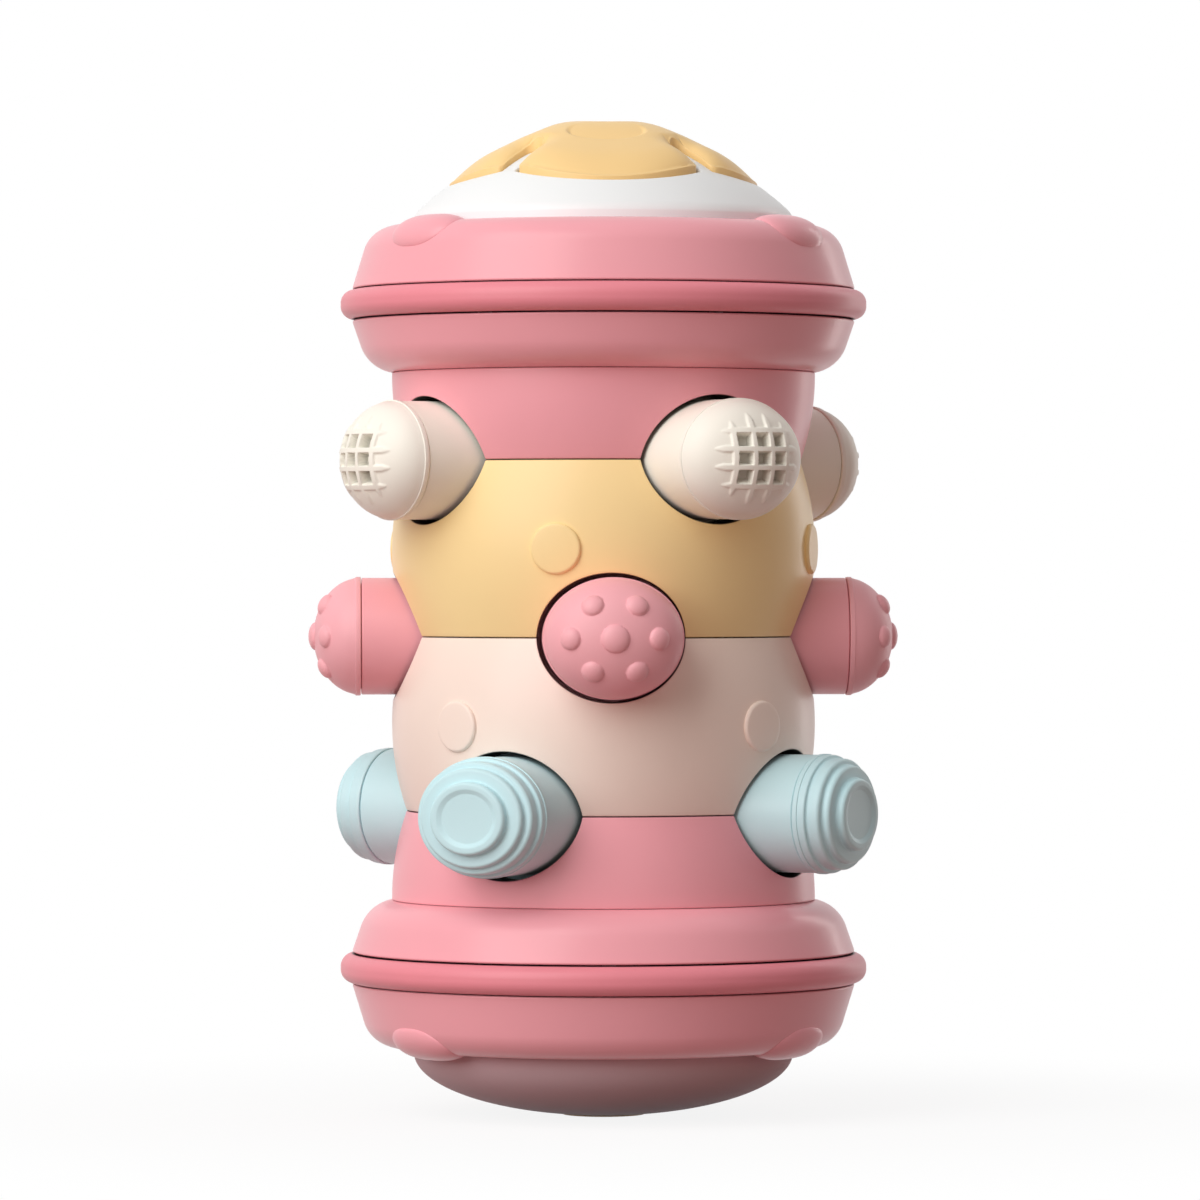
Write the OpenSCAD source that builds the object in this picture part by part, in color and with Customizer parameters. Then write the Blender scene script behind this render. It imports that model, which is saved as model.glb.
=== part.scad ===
// Crawling roller that stands on one end: four barrel bands stacked on a spine, a flanged end
// above and below, and three rows of sprung oval push pegs trapped at the seams of the bands.

/* [Body] */
// Height of one coloured band, from seam to seam
band_pitch = 40; // [38:0.5:46]
// Radius of a band at its fullest
band_r = 48.6; // [47:0.2:54]
// How much smaller the radius is at a seam
seam_sag = 3.4; // [2:0.1:4.5]
// Height of the half band between an outer seam and its rim
end_band_h = 20.6; // [19:0.1:26]
// Wall of the bands, rims and domes
wall = 2.4; // [1.8:0.1:3]
// Diameter of the raised dots on the two middle bands
dot_d = 11.5; // [8:0.5:16]
// Height of a dot above its band
dot_rise = 0.9; // [0.4:0.1:1.6]

/* [Pegs] */
// Width of a peg round the body
peg_w = 31; // [27:0.2:33]
// Height of a peg along the body
peg_h = 26.8; // [23:0.2:28.4]
// Clearance of a peg in its hole, all round
peg_gap = 1.1; // [0.6:0.1:1.4]
// Distance from the axis to the crown of a peg
peg_reach = 66.6; // [65:0.2:74]
// Height of the domed cap above its parting line
cap_rise = 10.8; // [8:0.2:13]
// Wall of the soft cap
cap_wall = 2; // [1.4:0.1:3]
// Width of the lip round the foot of the cap
cap_lip = 0.3; // [0.1:0.1:0.5]
// Wall of a plunger
plunger_wall = 1.8; // [1.2:0.1:2.6]
// Width of the flange that traps a plunger
flange_w = 2.2; // [1.8:0.1:2.6]
// Thickness of that flange
flange_t = 2; // [1.4:0.1:2.6]
// Wall of the guide collar round a hole
collar_wall = 2; // [1.4:0.1:2.6]
// How far a collar stands inside the body wall at its sides
collar_lip = 2.5; // [1:0.1:3.5]
// Turn from one row of pegs to the next, in degrees
row_twist = 30; // [0:1:45]

/* [Cap patterns] */
// Width of a rib of the grid caps
rib_w = 1.5; // [0.8:0.1:2]
// Pitch of those ribs
rib_pitch = 4.4; // [3.6:0.1:5]
// Depth of the grid at the crown
rib_depth = 1; // [0.5:0.1:1.4]
// Radius of the middle bump of the bump caps
bump_r = 5.5; // [4:0.1:7]
// Radius of the six bumps round it
small_bump_r = 3.5; // [2.6:0.1:4.4]
// Height of the bumps above the cap
bump_rise = 1.2; // [0.6:0.1:1.5]
// Share of the cap width at each terrace of the terrace caps
terrace_share = [1, 0.955, 0.875, 0.8, 0.62];
// Share of the cap height at each terrace
terrace_level = [0.32, 0.53, 0.68, 0.865, 0.985];
// Rounding of each terrace edge
terrace_round = [0.6, 1.8, 1.2, 1, 0.9];
// Depth of the dish in the crown of the terrace caps
terrace_dish = 0.6; // [0.3:0.1:1]

/* [Ends] */
// Radius of a rim beside the tyre
rim_r = 57.8; // [56:0.2:64]
// Depth of the inner rim, from the band to the tyre
inner_rim_h = 11.9; // [10.5:0.1:16]
// Depth of the outer rim, from the tyre to the dome
outer_rim_h = 16; // [14:0.2:20]
// Corner radius of the inner rim
inner_rim_round = 9; // [6:0.1:10]
// Corner radius of the outer rim
outer_rim_round = 11; // [7:0.1:12]
// Lean of the inner rim wall, in degrees
inner_rim_lean = 19; // [8:1:22]
// Lean of the outer rim wall, in degrees
outer_rim_lean = 17; // [10:1:22]
// Height of the tyre between the rims
tyre_h = 7.1; // [5:0.1:10]
// How far the tyre stands out beyond the rims
tyre_rise = 2.6; // [1:0.1:4]
// Radial depth of the part of the tyre that the rims clamp
tyre_root = 3.4; // [2.6:0.1:5]
// Radius of a dome at its edge
dome_r = 43.6; // [41:0.2:45]
// Height of the upper dome above its rim
dome_rise = 19; // [16:0.2:24]
// Height of the lower dome below its rim
base_rise = 14.3; // [12:0.1:18]
// Depth of the skirt that seats a dome in its rim
skirt_h = 6; // [4.5:0.1:8]
// Clearance between a dome and its rim
dome_gap = 0.3; // [0.2:0.05:0.6]
// Number of lugs that hold a dome down
lugs = 3; // [2:1:5]
// Length of a lug round the rim
lug_w = 21; // [14:0.5:24]
// Height of a lug above the rim
lug_rise = 1.5; // [0.8:0.1:2.4]
// How far a lug reaches over the dome
lug_reach = 2; // [1:0.1:3.5]
// Radius of the flat foot disc
foot_r = 14; // [12:0.2:20]
// Thickness of the foot disc
foot_t = 2.4; // [2:0.1:3.4]

/* [Flower button] */
// Number of petals
petals = 4; // [3:1:6]
// Radius over the petal tips
flower_r = 35.4; // [31:0.2:37]
// Distance from the axis to the centre of a petal
petal_centre_r = 11; // [8:0.2:14]
// Height of the flower above the dome, at its middle
flower_rise = 4.2; // [3:0.1:5]
// Height of the petal tips above the dome
petal_edge = 0.3; // [0.2:0.1:1.2]
// Width of the slot between two petals
slot_w = 5; // [3.2:0.1:6]
// Distance from the axis to the root of a slot
slot_root_r = 24; // [20:0.5:28]
// Clearance of the flower in the dome
flower_gap = 0.5; // [0.3:0.05:0.8]
// Radius of the finger dish in the middle
dish_r = 9; // [6:0.2:12]
// Depth of that dish
dish_depth = 1.3; // [0.6:0.1:2]
// Width of the low lip round the dish
dish_lip_w = 2.2; // [1.2:0.1:4]
// Height of that lip above the flower
dish_lip_rise = 0.5; // [0.3:0.1:0.8]
// How far the flower can be pushed in
flower_travel = 2.5; // [1:0.1:3]

/* [Frame and springs] */
// Radius of the spine tube
spine_r = 11; // [9:0.2:12]
// Radius of a spring seat on the spine
boss_r = 8; // [7.6:0.1:8.6]
// Height of a spring seat above the spine tube
boss_h = 6; // [3:0.2:7]
// Length of the pin that holds a spring on its seat
pin_len = 8; // [4:0.2:10]
// Mean radius of a peg spring
coil_r = 6.4; // [5.8:0.1:6.8]
// Wire of a peg spring
wire_d = 1.2; // [0.8:0.1:1.4]
// Turns of a peg spring
coil_turns = 6; // [4:1:7]
// Distance from the axis to the rim screws
screw_circle_r = 31; // [28:0.2:33]
// Diameter of a rim screw
screw_d = 3.2; // [2.6:0.1:4]
// Length of a rim screw below its head
screw_len = 16; // [12:0.5:20]
// Number of rim screws in each end
screws = 3; // [2:1:6]

/* [Hidden] */
fine = 160;
small = 64;
cut = 1;
seat_gap = 0.3;
fit_gap = 0.2;
rows = 3;
pegs_per_row = 4;
row_names = ["cream", "pink", "blue"];

shell_pink = [0.90, 0.60, 0.62];
tyre_pink = [0.87, 0.50, 0.54];
band_yellow_rgb = [0.95, 0.80, 0.55];
band_blush_rgb = [0.95, 0.85, 0.79];
cap_cream = [0.96, 0.93, 0.86];
cap_pink = [0.92, 0.62, 0.65];
cap_blue = [0.70, 0.80, 0.82];
dome_white = [0.96, 0.96, 0.95];
steel_grey = [0.72, 0.73, 0.75];
frame_grey = [0.82, 0.82, 0.80];

// Heights below are distances from the middle seam, outward to either end.
end_z = band_pitch + end_band_h;
tyre_z = end_z + inner_rim_h;
outer_z = tyre_z + tyre_h;
rim_top_z = outer_z + outer_rim_h;
web_z = rim_top_z - skirt_h - wall;
web_top_z = web_z + wall;
foot_z = rim_top_z + base_rise;
foot_seat_z = foot_z - foot_t;
mid_z = foot_z;

// The side of a band is one arc, fullest at half its height.
half_pitch = band_pitch / 2;
barrel_arc_r = (pow(half_pitch, 2) + pow(seam_sag, 2)) / (2 * seam_sag);
barrel_arc_x = band_r - barrel_arc_r;
seam_in_r = barrel_arc_x + sqrt(pow(barrel_arc_r - wall, 2) - pow(half_pitch, 2));
end_in_r = barrel_arc_x + sqrt(pow(barrel_arc_r - wall, 2) - pow(end_band_h - half_pitch, 2));
locator_h = 2.5;
locator_w = 1.8;

// Peg stations, as distances from the axis.
hole_w = peg_w + 2 * peg_gap;
hole_h = peg_h + 2 * peg_gap;
part_r = peg_reach - cap_rise;
collar_end_r = sqrt(pow(seam_in_r, 2) - pow(hole_w / 2 + collar_wall, 2)) - collar_lip;
flange_out_r = collar_end_r - seat_gap;
flange_in_r = flange_out_r - flange_t;
crown_in_r = part_r - plunger_wall;
seat_r = spine_r + boss_h;
pin_r = coil_r - wire_d / 2 - seat_gap;
spigot_h = 2.4;
spigot_gap = 1;
spring_cup_h = 3;
spring_cup_w = 1.2;
lip_h = 0.8;

// Patterns of the caps, as shares of the cap where they spread over it.
ribs = 4;
floor_spread = 1.12;
ring_bumps = 6;
bump_ring = 0.64;

// Upper dome and flower, both parts of spheres on the axis.
dome_sphere_r = (pow(dome_r, 2) + pow(dome_rise, 2)) / (2 * dome_rise);
dome_sphere_z = rim_top_z + dome_rise - dome_sphere_r;
flower_top_z = rim_top_z + dome_rise + flower_rise;
petal_tip_z = dome_sphere_z + sqrt(pow(dome_sphere_r, 2) - pow(flower_r, 2)) + petal_edge;
flower_drop = flower_top_z - petal_tip_z;
flower_sphere_r = (pow(flower_r, 2) + pow(flower_drop, 2)) / (2 * flower_drop);
flower_sphere_z = flower_top_z - flower_sphere_r;
flower_lip = 1.6;
flower_flange_r = flower_r + flower_gap + flower_lip;
flower_flange_z = dome_sphere_z + sqrt(pow(dome_sphere_r - wall, 2) - pow(flower_flange_r, 2)) - seat_gap;
flower_boss_r = 7;
flower_boss_z = flower_top_z - dish_depth - wall - flower_travel;
dish_sphere_r = (pow(dish_r, 2) + pow(dish_depth, 2)) / (2 * dish_depth);
dish_rim_z = flower_sphere_z + sqrt(pow(flower_sphere_r + dish_lip_rise, 2) - pow(dish_r, 2));
button_coil_r = 5.6;
button_turns = 4;
button_post_r = button_coil_r - wire_d / 2 - seat_gap;
button_post_h = (flower_boss_z - web_top_z) / 2;

// Hub, screws and foot.
hub_r = spine_r + fit_gap + wall;
hub_depth = 6;
screw_boss_r = 4.6;
screw_head_r = screw_d;
screw_head_h = 2;
screw_turn = 30;
lug_turn = -30;
stem_r = 5;
snap_r = 6.2;
snap_h = 1.8;
pad_r = foot_r + wall;
pad_t = wall;

coil_steps = 10;
coil_sides = 6;

function peg_node(row, piece, k) = str(row_names[row], "_", piece, "_", k);
function row_z(row) = mid_z + (1 - row) * band_pitch;
function row_turn(row) = -90 + (1 - row) * row_twist;
function coil_point(r, length, turns, i) =
    let (a = 360 * i / coil_steps, t = i / (turns * coil_steps))
    [r * cos(a), r * sin(a), t * length];

// Places a child on the axis of peg k of a row, its own z pointing away from the body
// and its own x along the body.
module at_peg(row, k) {
    translate([0, 0, row_z(row)])
        rotate([0, 0, row_turn(row) + 360 * (k - 1) / pegs_per_row])
            rotate([0, 90, 0])
                children();
}

module at_row(row) {
    for (k = [1 : pegs_per_row]) at_peg(row, k) children();
}

module at_top() {
    translate([0, 0, mid_z]) children();
}

module at_bottom() {
    translate([0, 0, mid_z]) mirror([0, 0, 1]) children();
}

module round_the_axis(count, turn) {
    for (k = [0 : count - 1]) rotate([0, 0, turn + 360 * k / count]) children();
}

// Oval with its width across y and its height along x.
module oval(w, h) {
    scale([h / w, 1]) circle(d = w, $fn = small);
}

module oval_prism(w, h, z0, z1) {
    translate([0, 0, z0]) linear_extrude(z1 - z0) oval(w, h);
}

module oval_dome(w, h, rise) {
    scale([h / w, 1, 2 * rise / w])
        intersection() {
            sphere(d = w, $fn = fine);
            translate([-w, -w, 0]) cube([2 * w, 2 * w, w]);
        }
}

// Section of a band between two heights, drawn from the axis out and shrunk by an inset.
module band_section(fullest_z, z0, z1, inset) {
    intersection() {
        translate([barrel_arc_x, fullest_z]) circle(r = barrel_arc_r - inset, $fn = fine);
        translate([0, z0]) square([band_r + abs(inset) + cut, z1 - z0]);
    }
}

module band_shell(fullest_z, z0, z1) {
    rotate_extrude($fn = fine)
        difference() {
            band_section(fullest_z, z0, z1, 0);
            band_section(fullest_z, z0 - cut, z1 + cut, wall);
        }
}

module band_core(fullest_z, z0, z1, inset) {
    rotate_extrude($fn = fine) band_section(fullest_z, z0, z1, inset);
}

// One band: its wall, the halves of the guide collars on its seams, its halves of the holes, and
// the raised dots that are given as a child.
module band(fullest_z, z0, z1, seam_rows) {
    difference() {
        union() {
            band_shell(fullest_z, z0, z1);
            intersection() {
                for (row = seam_rows) {
                    at_row(row) oval_prism(hole_w + 2 * collar_wall, hole_h + 2 * collar_wall, collar_end_r, band_r);
                }
                band_core(fullest_z, z0, z1, 0);
            }
            children();
        }
        for (row = seam_rows) at_row(row) oval_prism(hole_w, hole_h, collar_end_r - cut, band_r + cut);
    }
}

// Low round pads, a quarter turn apart at the fullest part of a band, that follow its curve.
module dots(fullest_z, turn) {
    intersection() {
        round_the_axis(pegs_per_row, turn)
            translate([band_r - wall / 2, 0, fullest_z])
                rotate([0, 90, 0])
                    cylinder(d = dot_d, h = wall / 2 + dot_rise + cut, $fn = small);
        band_core(fullest_z, fullest_z - half_pitch, fullest_z + half_pitch, -dot_rise);
    }
}

module band_top_pink() {
    z0 = mid_z + band_pitch;
    color(shell_pink) band(z0 + half_pitch, z0, z0 + end_band_h, [0]);
}

module band_yellow() {
    color(band_yellow_rgb)
        band(mid_z + half_pitch, mid_z, mid_z + band_pitch, [0, 1])
            dots(mid_z + half_pitch, row_turn(1) - row_twist / 2);
}

module band_blush() {
    color(band_blush_rgb)
        band(mid_z - half_pitch, mid_z - band_pitch, mid_z, [1, 2])
            dots(mid_z - half_pitch, row_turn(2) - row_twist / 2);
}

module band_bottom_pink() {
    z1 = mid_z - band_pitch;
    color(shell_pink) band(z1 - half_pitch, z1 - end_band_h, z1, [2]);
}

// Section of a rim from its tyre face at y = 0 to its far face at y = depth: a leaning wall and a
// round corner that meets the far face, drawn from the axis out and shrunk by an inset.
module rim_section(depth, corner, lean, inset) {
    cy = depth - corner;
    cx = rim_r - (corner + cy * sin(lean)) / cos(lean);
    r = corner - inset;
    tx = cx + r * cos(lean);
    ty = cy + r * sin(lean);
    intersection() {
        union() {
            translate([cx, cy]) circle(r = r, $fn = fine);
            polygon([[0, 0], [tx + ty * tan(lean), 0], [tx, ty], [cx, cy], [cx, cy + r], [0, cy + r]]);
        }
        square([rim_r + cut, depth]);
    }
}

module rim_shell(depth, corner, lean) {
    rotate_extrude($fn = fine)
        difference() {
            rim_section(depth, corner, lean, 0);
            translate([0, -cut]) square([rim_r - wall / cos(lean), 2 * cut]);
            rim_section(depth, corner, lean, wall);
        }
}

// Bowl beside the band, with the socket of the spine, the ring that centres the band and the
// posts of the rim screws.
module inner_rim() {
    difference() {
        union() {
            translate([0, 0, tyre_z])
                mirror([0, 0, 1])
                    rim_shell(inner_rim_h, inner_rim_round, inner_rim_lean);
            translate([0, 0, end_z]) cylinder(r = hub_r, h = hub_depth + wall, $fn = fine);
            translate([0, 0, end_z - locator_h])
                cylinder(r = end_in_r - fit_gap, h = locator_h + wall / 2, $fn = fine);
            round_the_axis(screws, screw_turn)
                translate([screw_circle_r, 0, end_z])
                    cylinder(r = screw_boss_r, h = web_z - end_z, $fn = small);
        }
        translate([0, 0, end_z - locator_h - cut])
            cylinder(r = end_in_r - fit_gap - locator_w, h = locator_h + cut, $fn = fine);
        translate([0, 0, end_z - cut]) cylinder(r = spine_r + fit_gap, h = hub_depth + cut, $fn = fine);
        round_the_axis(screws, screw_turn)
            translate([screw_circle_r, 0, web_z - screw_len])
                cylinder(d = screw_d + 2 * fit_gap, h = screw_len + cut, $fn = small);
    }
}

// Lug that wraps the corner of the outer rim and reaches over the edge of the dome.
module lug() {
    cy = outer_rim_h - outer_rim_round;
    cx = rim_r - (outer_rim_round + cy * sin(outer_rim_lean)) / cos(outer_rim_lean);
    slope = cx + outer_rim_round / 2 - dome_r + lug_reach;
    intersection() {
        rotate_extrude($fn = fine)
            union() {
                translate([cx, outer_z + cy]) circle(r = outer_rim_round + lug_rise, $fn = fine);
                translate([dome_r - lug_reach, rim_top_z - wall])
                    square([cx - dome_r + lug_reach, wall + lug_rise]);
            }
        translate([cx + outer_rim_round / 2 - slope / 4, 0, rim_top_z - outer_rim_round / 4])
            rotate([0, 40, 0])
                scale([slope / lug_w * 1.4, 1, 0.5]) sphere(d = lug_w, $fn = small);
    }
}

module dome_solid(inset) {
    translate([0, 0, dome_sphere_z]) sphere(r = dome_sphere_r - inset, $fn = fine);
}

module base_solid(inset) {
    translate([0, 0, rim_top_z])
        scale([1, 1, (base_rise - inset) / (dome_r - inset)]) sphere(r = dome_r - inset, $fn = fine);
}

// Ring above the tyre: its wall, the web that the screws clamp, and the lugs. The child is the
// dome with its clearance, which the lugs fit over.
module outer_rim() {
    difference() {
        union() {
            translate([0, 0, outer_z]) rim_shell(outer_rim_h, outer_rim_round, outer_rim_lean);
            intersection() {
                translate([0, 0, web_z]) cylinder(r = rim_r, h = wall, $fn = fine);
                translate([0, 0, outer_z])
                    rotate_extrude($fn = fine)
                        rim_section(outer_rim_h, outer_rim_round, outer_rim_lean, wall / 2);
            }
            round_the_axis(lugs, lug_turn) lug();
        }
        translate([0, 0, web_top_z]) cylinder(r = dome_r + dome_gap, h = rim_top_z - web_top_z, $fn = fine);
        intersection() {
            translate([0, 0, web_top_z]) cylinder(r = dome_r + dome_gap, h = outer_rim_h, $fn = fine);
            children();
        }
        round_the_axis(screws, screw_turn)
            translate([screw_circle_r, 0, web_z - cut])
                cylinder(d = screw_d + 2 * fit_gap, h = wall + 2 * cut, $fn = small);
    }
}

module inner_rim_top() {
    color(shell_pink) at_top() inner_rim();
}

module inner_rim_bottom() {
    color(shell_pink) at_bottom() inner_rim();
}

module outer_rim_top() {
    color(shell_pink)
        at_top() {
            outer_rim() dome_solid(-dome_gap);
            translate([0, 0, web_top_z]) cylinder(r = button_post_r, h = button_post_h, $fn = small);
        }
}

module outer_rim_bottom() {
    color(shell_pink) at_bottom() outer_rim() base_solid(-dome_gap);
}

// Soft ring with a half-round tread, clamped between the two rims.
module tyre() {
    tread_r = tyre_h / 2;
    rotate_extrude($fn = fine) {
        translate([rim_r - tyre_root, tyre_z]) square([tyre_root + tyre_rise - tread_r, tyre_h]);
        intersection() {
            translate([rim_r + tyre_rise - tread_r, tyre_z + tread_r]) circle(r = tread_r, $fn = small);
            translate([rim_r - tyre_root, tyre_z]) square([tyre_root + tyre_rise, tyre_h]);
        }
    }
}

module tyre_top() {
    color(tyre_pink) at_top() tyre();
}

module tyre_bottom() {
    color(tyre_pink) at_bottom() tyre();
}

module skirt_solid(inset, z0) {
    translate([0, 0, z0]) cylinder(r = dome_r - inset, h = rim_top_z - z0, $fn = fine);
}

// Petals are overlapping discs, parted by round-ended slots.
module flower_outline(grow) {
    slot = slot_w - 2 * grow;
    difference() {
        for (k = [0 : petals - 1]) {
            rotate(-90 + 360 * k / petals)
                translate([petal_centre_r, 0]) circle(r = flower_r - petal_centre_r + grow, $fn = fine);
        }
        for (k = [0 : petals - 1]) {
            rotate(-90 + 360 * (k + 0.5) / petals) {
                translate([slot_root_r, 0]) circle(d = slot, $fn = small);
                translate([slot_root_r, -slot / 2]) square([flower_r, slot]);
            }
        }
    }
}

module flower_prism(grow, z0, z1) {
    translate([0, 0, z0]) linear_extrude(z1 - z0) flower_outline(grow);
}

module dome_top() {
    color(dome_white)
        at_top()
            difference() {
                union() {
                    intersection() {
                        dome_solid(0);
                        translate([0, 0, rim_top_z]) cylinder(r = dome_r, h = dome_rise + cut, $fn = fine);
                    }
                    skirt_solid(0, web_top_z);
                }
                intersection() {
                    dome_solid(wall);
                    skirt_solid(wall, web_top_z - cut - dome_rise);
                }
                intersection() {
                    dome_solid(wall);
                    translate([0, 0, rim_top_z - wall]) cylinder(r = dome_r - wall, h = dome_rise + wall, $fn = fine);
                }
                flower_prism(flower_gap, flower_flange_z, flower_top_z);
            }
}

// Thin-walled button in the shape of the flower, with a flange that stays under the dome, a
// finger dish in a low lip and the post that its spring pushes.
module flower_button() {
    color(band_yellow_rgb)
        at_top()
            difference() {
                union() {
                    difference() {
                        union() {
                            intersection() {
                                flower_prism(0, flower_flange_z - flange_t, flower_top_z);
                                translate([0, 0, flower_sphere_z]) sphere(r = flower_sphere_r, $fn = fine);
                            }
                            translate([0, 0, flower_flange_z - flange_t])
                                cylinder(r = flower_flange_r, h = flange_t, $fn = fine);
                        }
                        intersection() {
                            flower_prism(-wall, flower_flange_z - flange_t - cut, flower_top_z);
                            translate([0, 0, flower_sphere_z]) sphere(r = flower_sphere_r - wall, $fn = fine);
                        }
                    }
                    intersection() {
                        translate([0, 0, dish_rim_z - dish_depth - wall])
                            cylinder(r = dish_r + dish_lip_w, h = dish_depth + 2 * wall, $fn = fine);
                        translate([0, 0, flower_sphere_z])
                            sphere(r = flower_sphere_r + dish_lip_rise, $fn = fine);
                    }
                    translate([0, 0, flower_boss_z])
                        cylinder(r = flower_boss_r, h = dish_rim_z - dish_depth - flower_boss_z, $fn = small);
                }
                translate([0, 0, dish_rim_z - dish_depth + dish_sphere_r]) sphere(r = dish_sphere_r, $fn = fine);
            }
}

module dome_bottom() {
    color(dome_white)
        at_bottom()
            difference() {
                union() {
                    intersection() {
                        base_solid(0);
                        translate([0, 0, rim_top_z]) cylinder(r = dome_r, h = base_rise, $fn = fine);
                    }
                    skirt_solid(0, web_top_z);
                }
                difference() {
                    union() {
                        intersection() {
                            base_solid(wall);
                            translate([0, 0, rim_top_z - cut]) cylinder(r = dome_r, h = base_rise + cut, $fn = fine);
                        }
                        translate([0, 0, web_top_z - cut])
                            cylinder(r = dome_r - wall, h = skirt_h + cut, $fn = fine);
                    }
                    translate([0, 0, foot_seat_z - pad_t]) cylinder(r = pad_r, h = pad_t + foot_t, $fn = fine);
                }
                translate([0, 0, foot_seat_z]) cylinder(r = foot_r + fit_gap, h = foot_t + cut, $fn = fine);
                translate([0, 0, rim_top_z]) cylinder(r = stem_r + fit_gap, h = base_rise, $fn = small);
            }
}

// Flat disc that the roller stands on, snapped into the lower dome.
module foot_disc() {
    edge = foot_t / 3;
    color(band_yellow_rgb)
        at_bottom()
            rotate_extrude($fn = fine)
                union() {
                    translate([0, foot_seat_z]) square([foot_r, foot_t - edge]);
                    translate([0, foot_seat_z]) square([foot_r - edge, foot_t]);
                    translate([foot_r - edge, foot_z - edge]) circle(r = edge, $fn = small);
                    translate([0, foot_seat_z - pad_t - fit_gap - snap_h])
                        square([stem_r, pad_t + fit_gap + snap_h + edge]);
                    translate([0, foot_seat_z - pad_t - fit_gap - snap_h]) square([snap_r, snap_h]);
                }
}

// Tube between the hubs, with a seat and a pin for each peg spring.
module spine() {
    half = end_z + hub_depth - fit_gap;
    color(frame_grey)
        difference() {
            union() {
                translate([0, 0, mid_z - half]) cylinder(r = spine_r, h = 2 * half, $fn = fine);
                for (row = [0 : rows - 1]) {
                    at_row(row) {
                        cylinder(r = boss_r, h = seat_r, $fn = small);
                        cylinder(r = pin_r, h = seat_r + pin_len, $fn = small);
                    }
                }
            }
            translate([0, 0, mid_z - half - cut]) cylinder(r = spine_r - wall, h = 2 * (half + cut), $fn = fine);
        }
}

module rim_screws() {
    color(steel_grey)
        round_the_axis(screws, screw_turn)
            translate([screw_circle_r, 0, 0]) {
                translate([0, 0, web_top_z]) cylinder(r = screw_head_r, h = screw_head_h, $fn = small);
                translate([0, 0, web_top_z - screw_len + seat_gap])
                    cylinder(d = screw_d, h = screw_len, $fn = small);
            }
}

module rim_screws_top() {
    at_top() rim_screws();
}

module rim_screws_bottom() {
    at_bottom() rim_screws();
}

// Round wire wound on a helix from z = 0, as one swept skin with flat ends.
module coil(r, length, turns) {
    rings = turns * coil_steps;
    wire_r = wire_d / 2;
    points = [
        for (i = [0 : rings])
            let (p = coil_point(r, length, turns, i), a = 360 * i / coil_steps)
            for (s = [0 : coil_sides - 1])
                let (b = 360 * s / coil_sides)
                p + [wire_r * cos(b) * cos(a), wire_r * cos(b) * sin(a), wire_r * sin(b)]
    ];
    sides = [
        for (i = [0 : rings - 1])
            for (s = [0 : coil_sides - 1])
                let (n = (s + 1) % coil_sides, here = i * coil_sides, next = here + coil_sides)
                [here + s, next + s, next + n, here + n]
    ];
    first_end = [for (s = [0 : coil_sides - 1]) s];
    last_end = [for (s = [0 : coil_sides - 1]) rings * coil_sides + coil_sides - 1 - s];
    polyhedron(points, concat([first_end], sides, [last_end]), convexity = turns);
}

module peg_spring() {
    color(steel_grey)
        translate([0, 0, seat_r + wire_d / 2 + fit_gap])
            coil(coil_r, crown_in_r - seat_r - wire_d - 2 * fit_gap, coil_turns);
}

module button_spring() {
    color(steel_grey)
        at_top()
            translate([0, 0, web_top_z + wire_d / 2 + fit_gap])
                coil(button_coil_r, flower_boss_z - web_top_z - wire_d - 2 * fit_gap, button_turns);
}

// Hollow oval plunger: trapped flange, straight barrel, crown, spring cup and the spigot of its cap.
module plunger() {
    inner_w = peg_w - 2 * plunger_wall;
    inner_h = peg_h - 2 * plunger_wall;
    spigot_in = 2 * (cap_wall + spigot_gap);
    cup_r = coil_r + wire_d / 2 + seat_gap;
    difference() {
        union() {
            oval_prism(peg_w + 2 * flange_w, peg_h + 2 * flange_w, flange_in_r, flange_out_r);
            oval_prism(peg_w, peg_h, flange_in_r, part_r);
            oval_prism(peg_w - spigot_in, peg_h - spigot_in, crown_in_r, part_r + spigot_h);
        }
        difference() {
            oval_prism(inner_w, inner_h, flange_in_r - cut, crown_in_r);
            translate([0, 0, crown_in_r - spring_cup_h])
                difference() {
                    cylinder(r = cup_r + spring_cup_w, h = spring_cup_h + cut, $fn = small);
                    translate([0, 0, -cut]) cylinder(r = cup_r, h = spring_cup_h + 2 * cut, $fn = small);
                }
        }
    }
}

// Crossed ribs keep the height of the dome; between them it is cut down to a flatter dome.
module grid_dome() {
    span = rib_pitch * (ribs - 1);
    intersection() {
        oval_dome(peg_w, peg_h, cap_rise);
        union() {
            oval_dome(peg_w * floor_spread, peg_h * floor_spread, cap_rise - rib_depth);
            for (i = [0 : ribs - 1], turn = [0, 90]) {
                rotate([0, 0, turn])
                    translate([i * rib_pitch - span / 2 - rib_w / 2, -peg_w / 2, 0])
                        cube([rib_w, peg_w, cap_rise + cut]);
            }
        }
    }
}

// One bump on the crown and a ring of smaller ones round it, each a ball sunk into the dome.
module bump_dome() {
    oval_dome(peg_w, peg_h, cap_rise);
    translate([0, 0, cap_rise + bump_rise - bump_r]) sphere(r = bump_r, $fn = small);
    for (k = [0 : ring_bumps - 1]) {
        turn = 360 * k / ring_bumps;
        x = bump_ring * peg_h / 2 * sin(turn);
        y = bump_ring * peg_w / 2 * cos(turn);
        z = cap_rise * sqrt(1 - pow(bump_ring, 2));
        out = [x / pow(peg_h / 2, 2), y / pow(peg_w / 2, 2), z / pow(cap_rise, 2)];
        translate([x, y, z] + (bump_rise - small_bump_r) * out / norm(out)) sphere(r = small_bump_r, $fn = small);
    }
}

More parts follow.
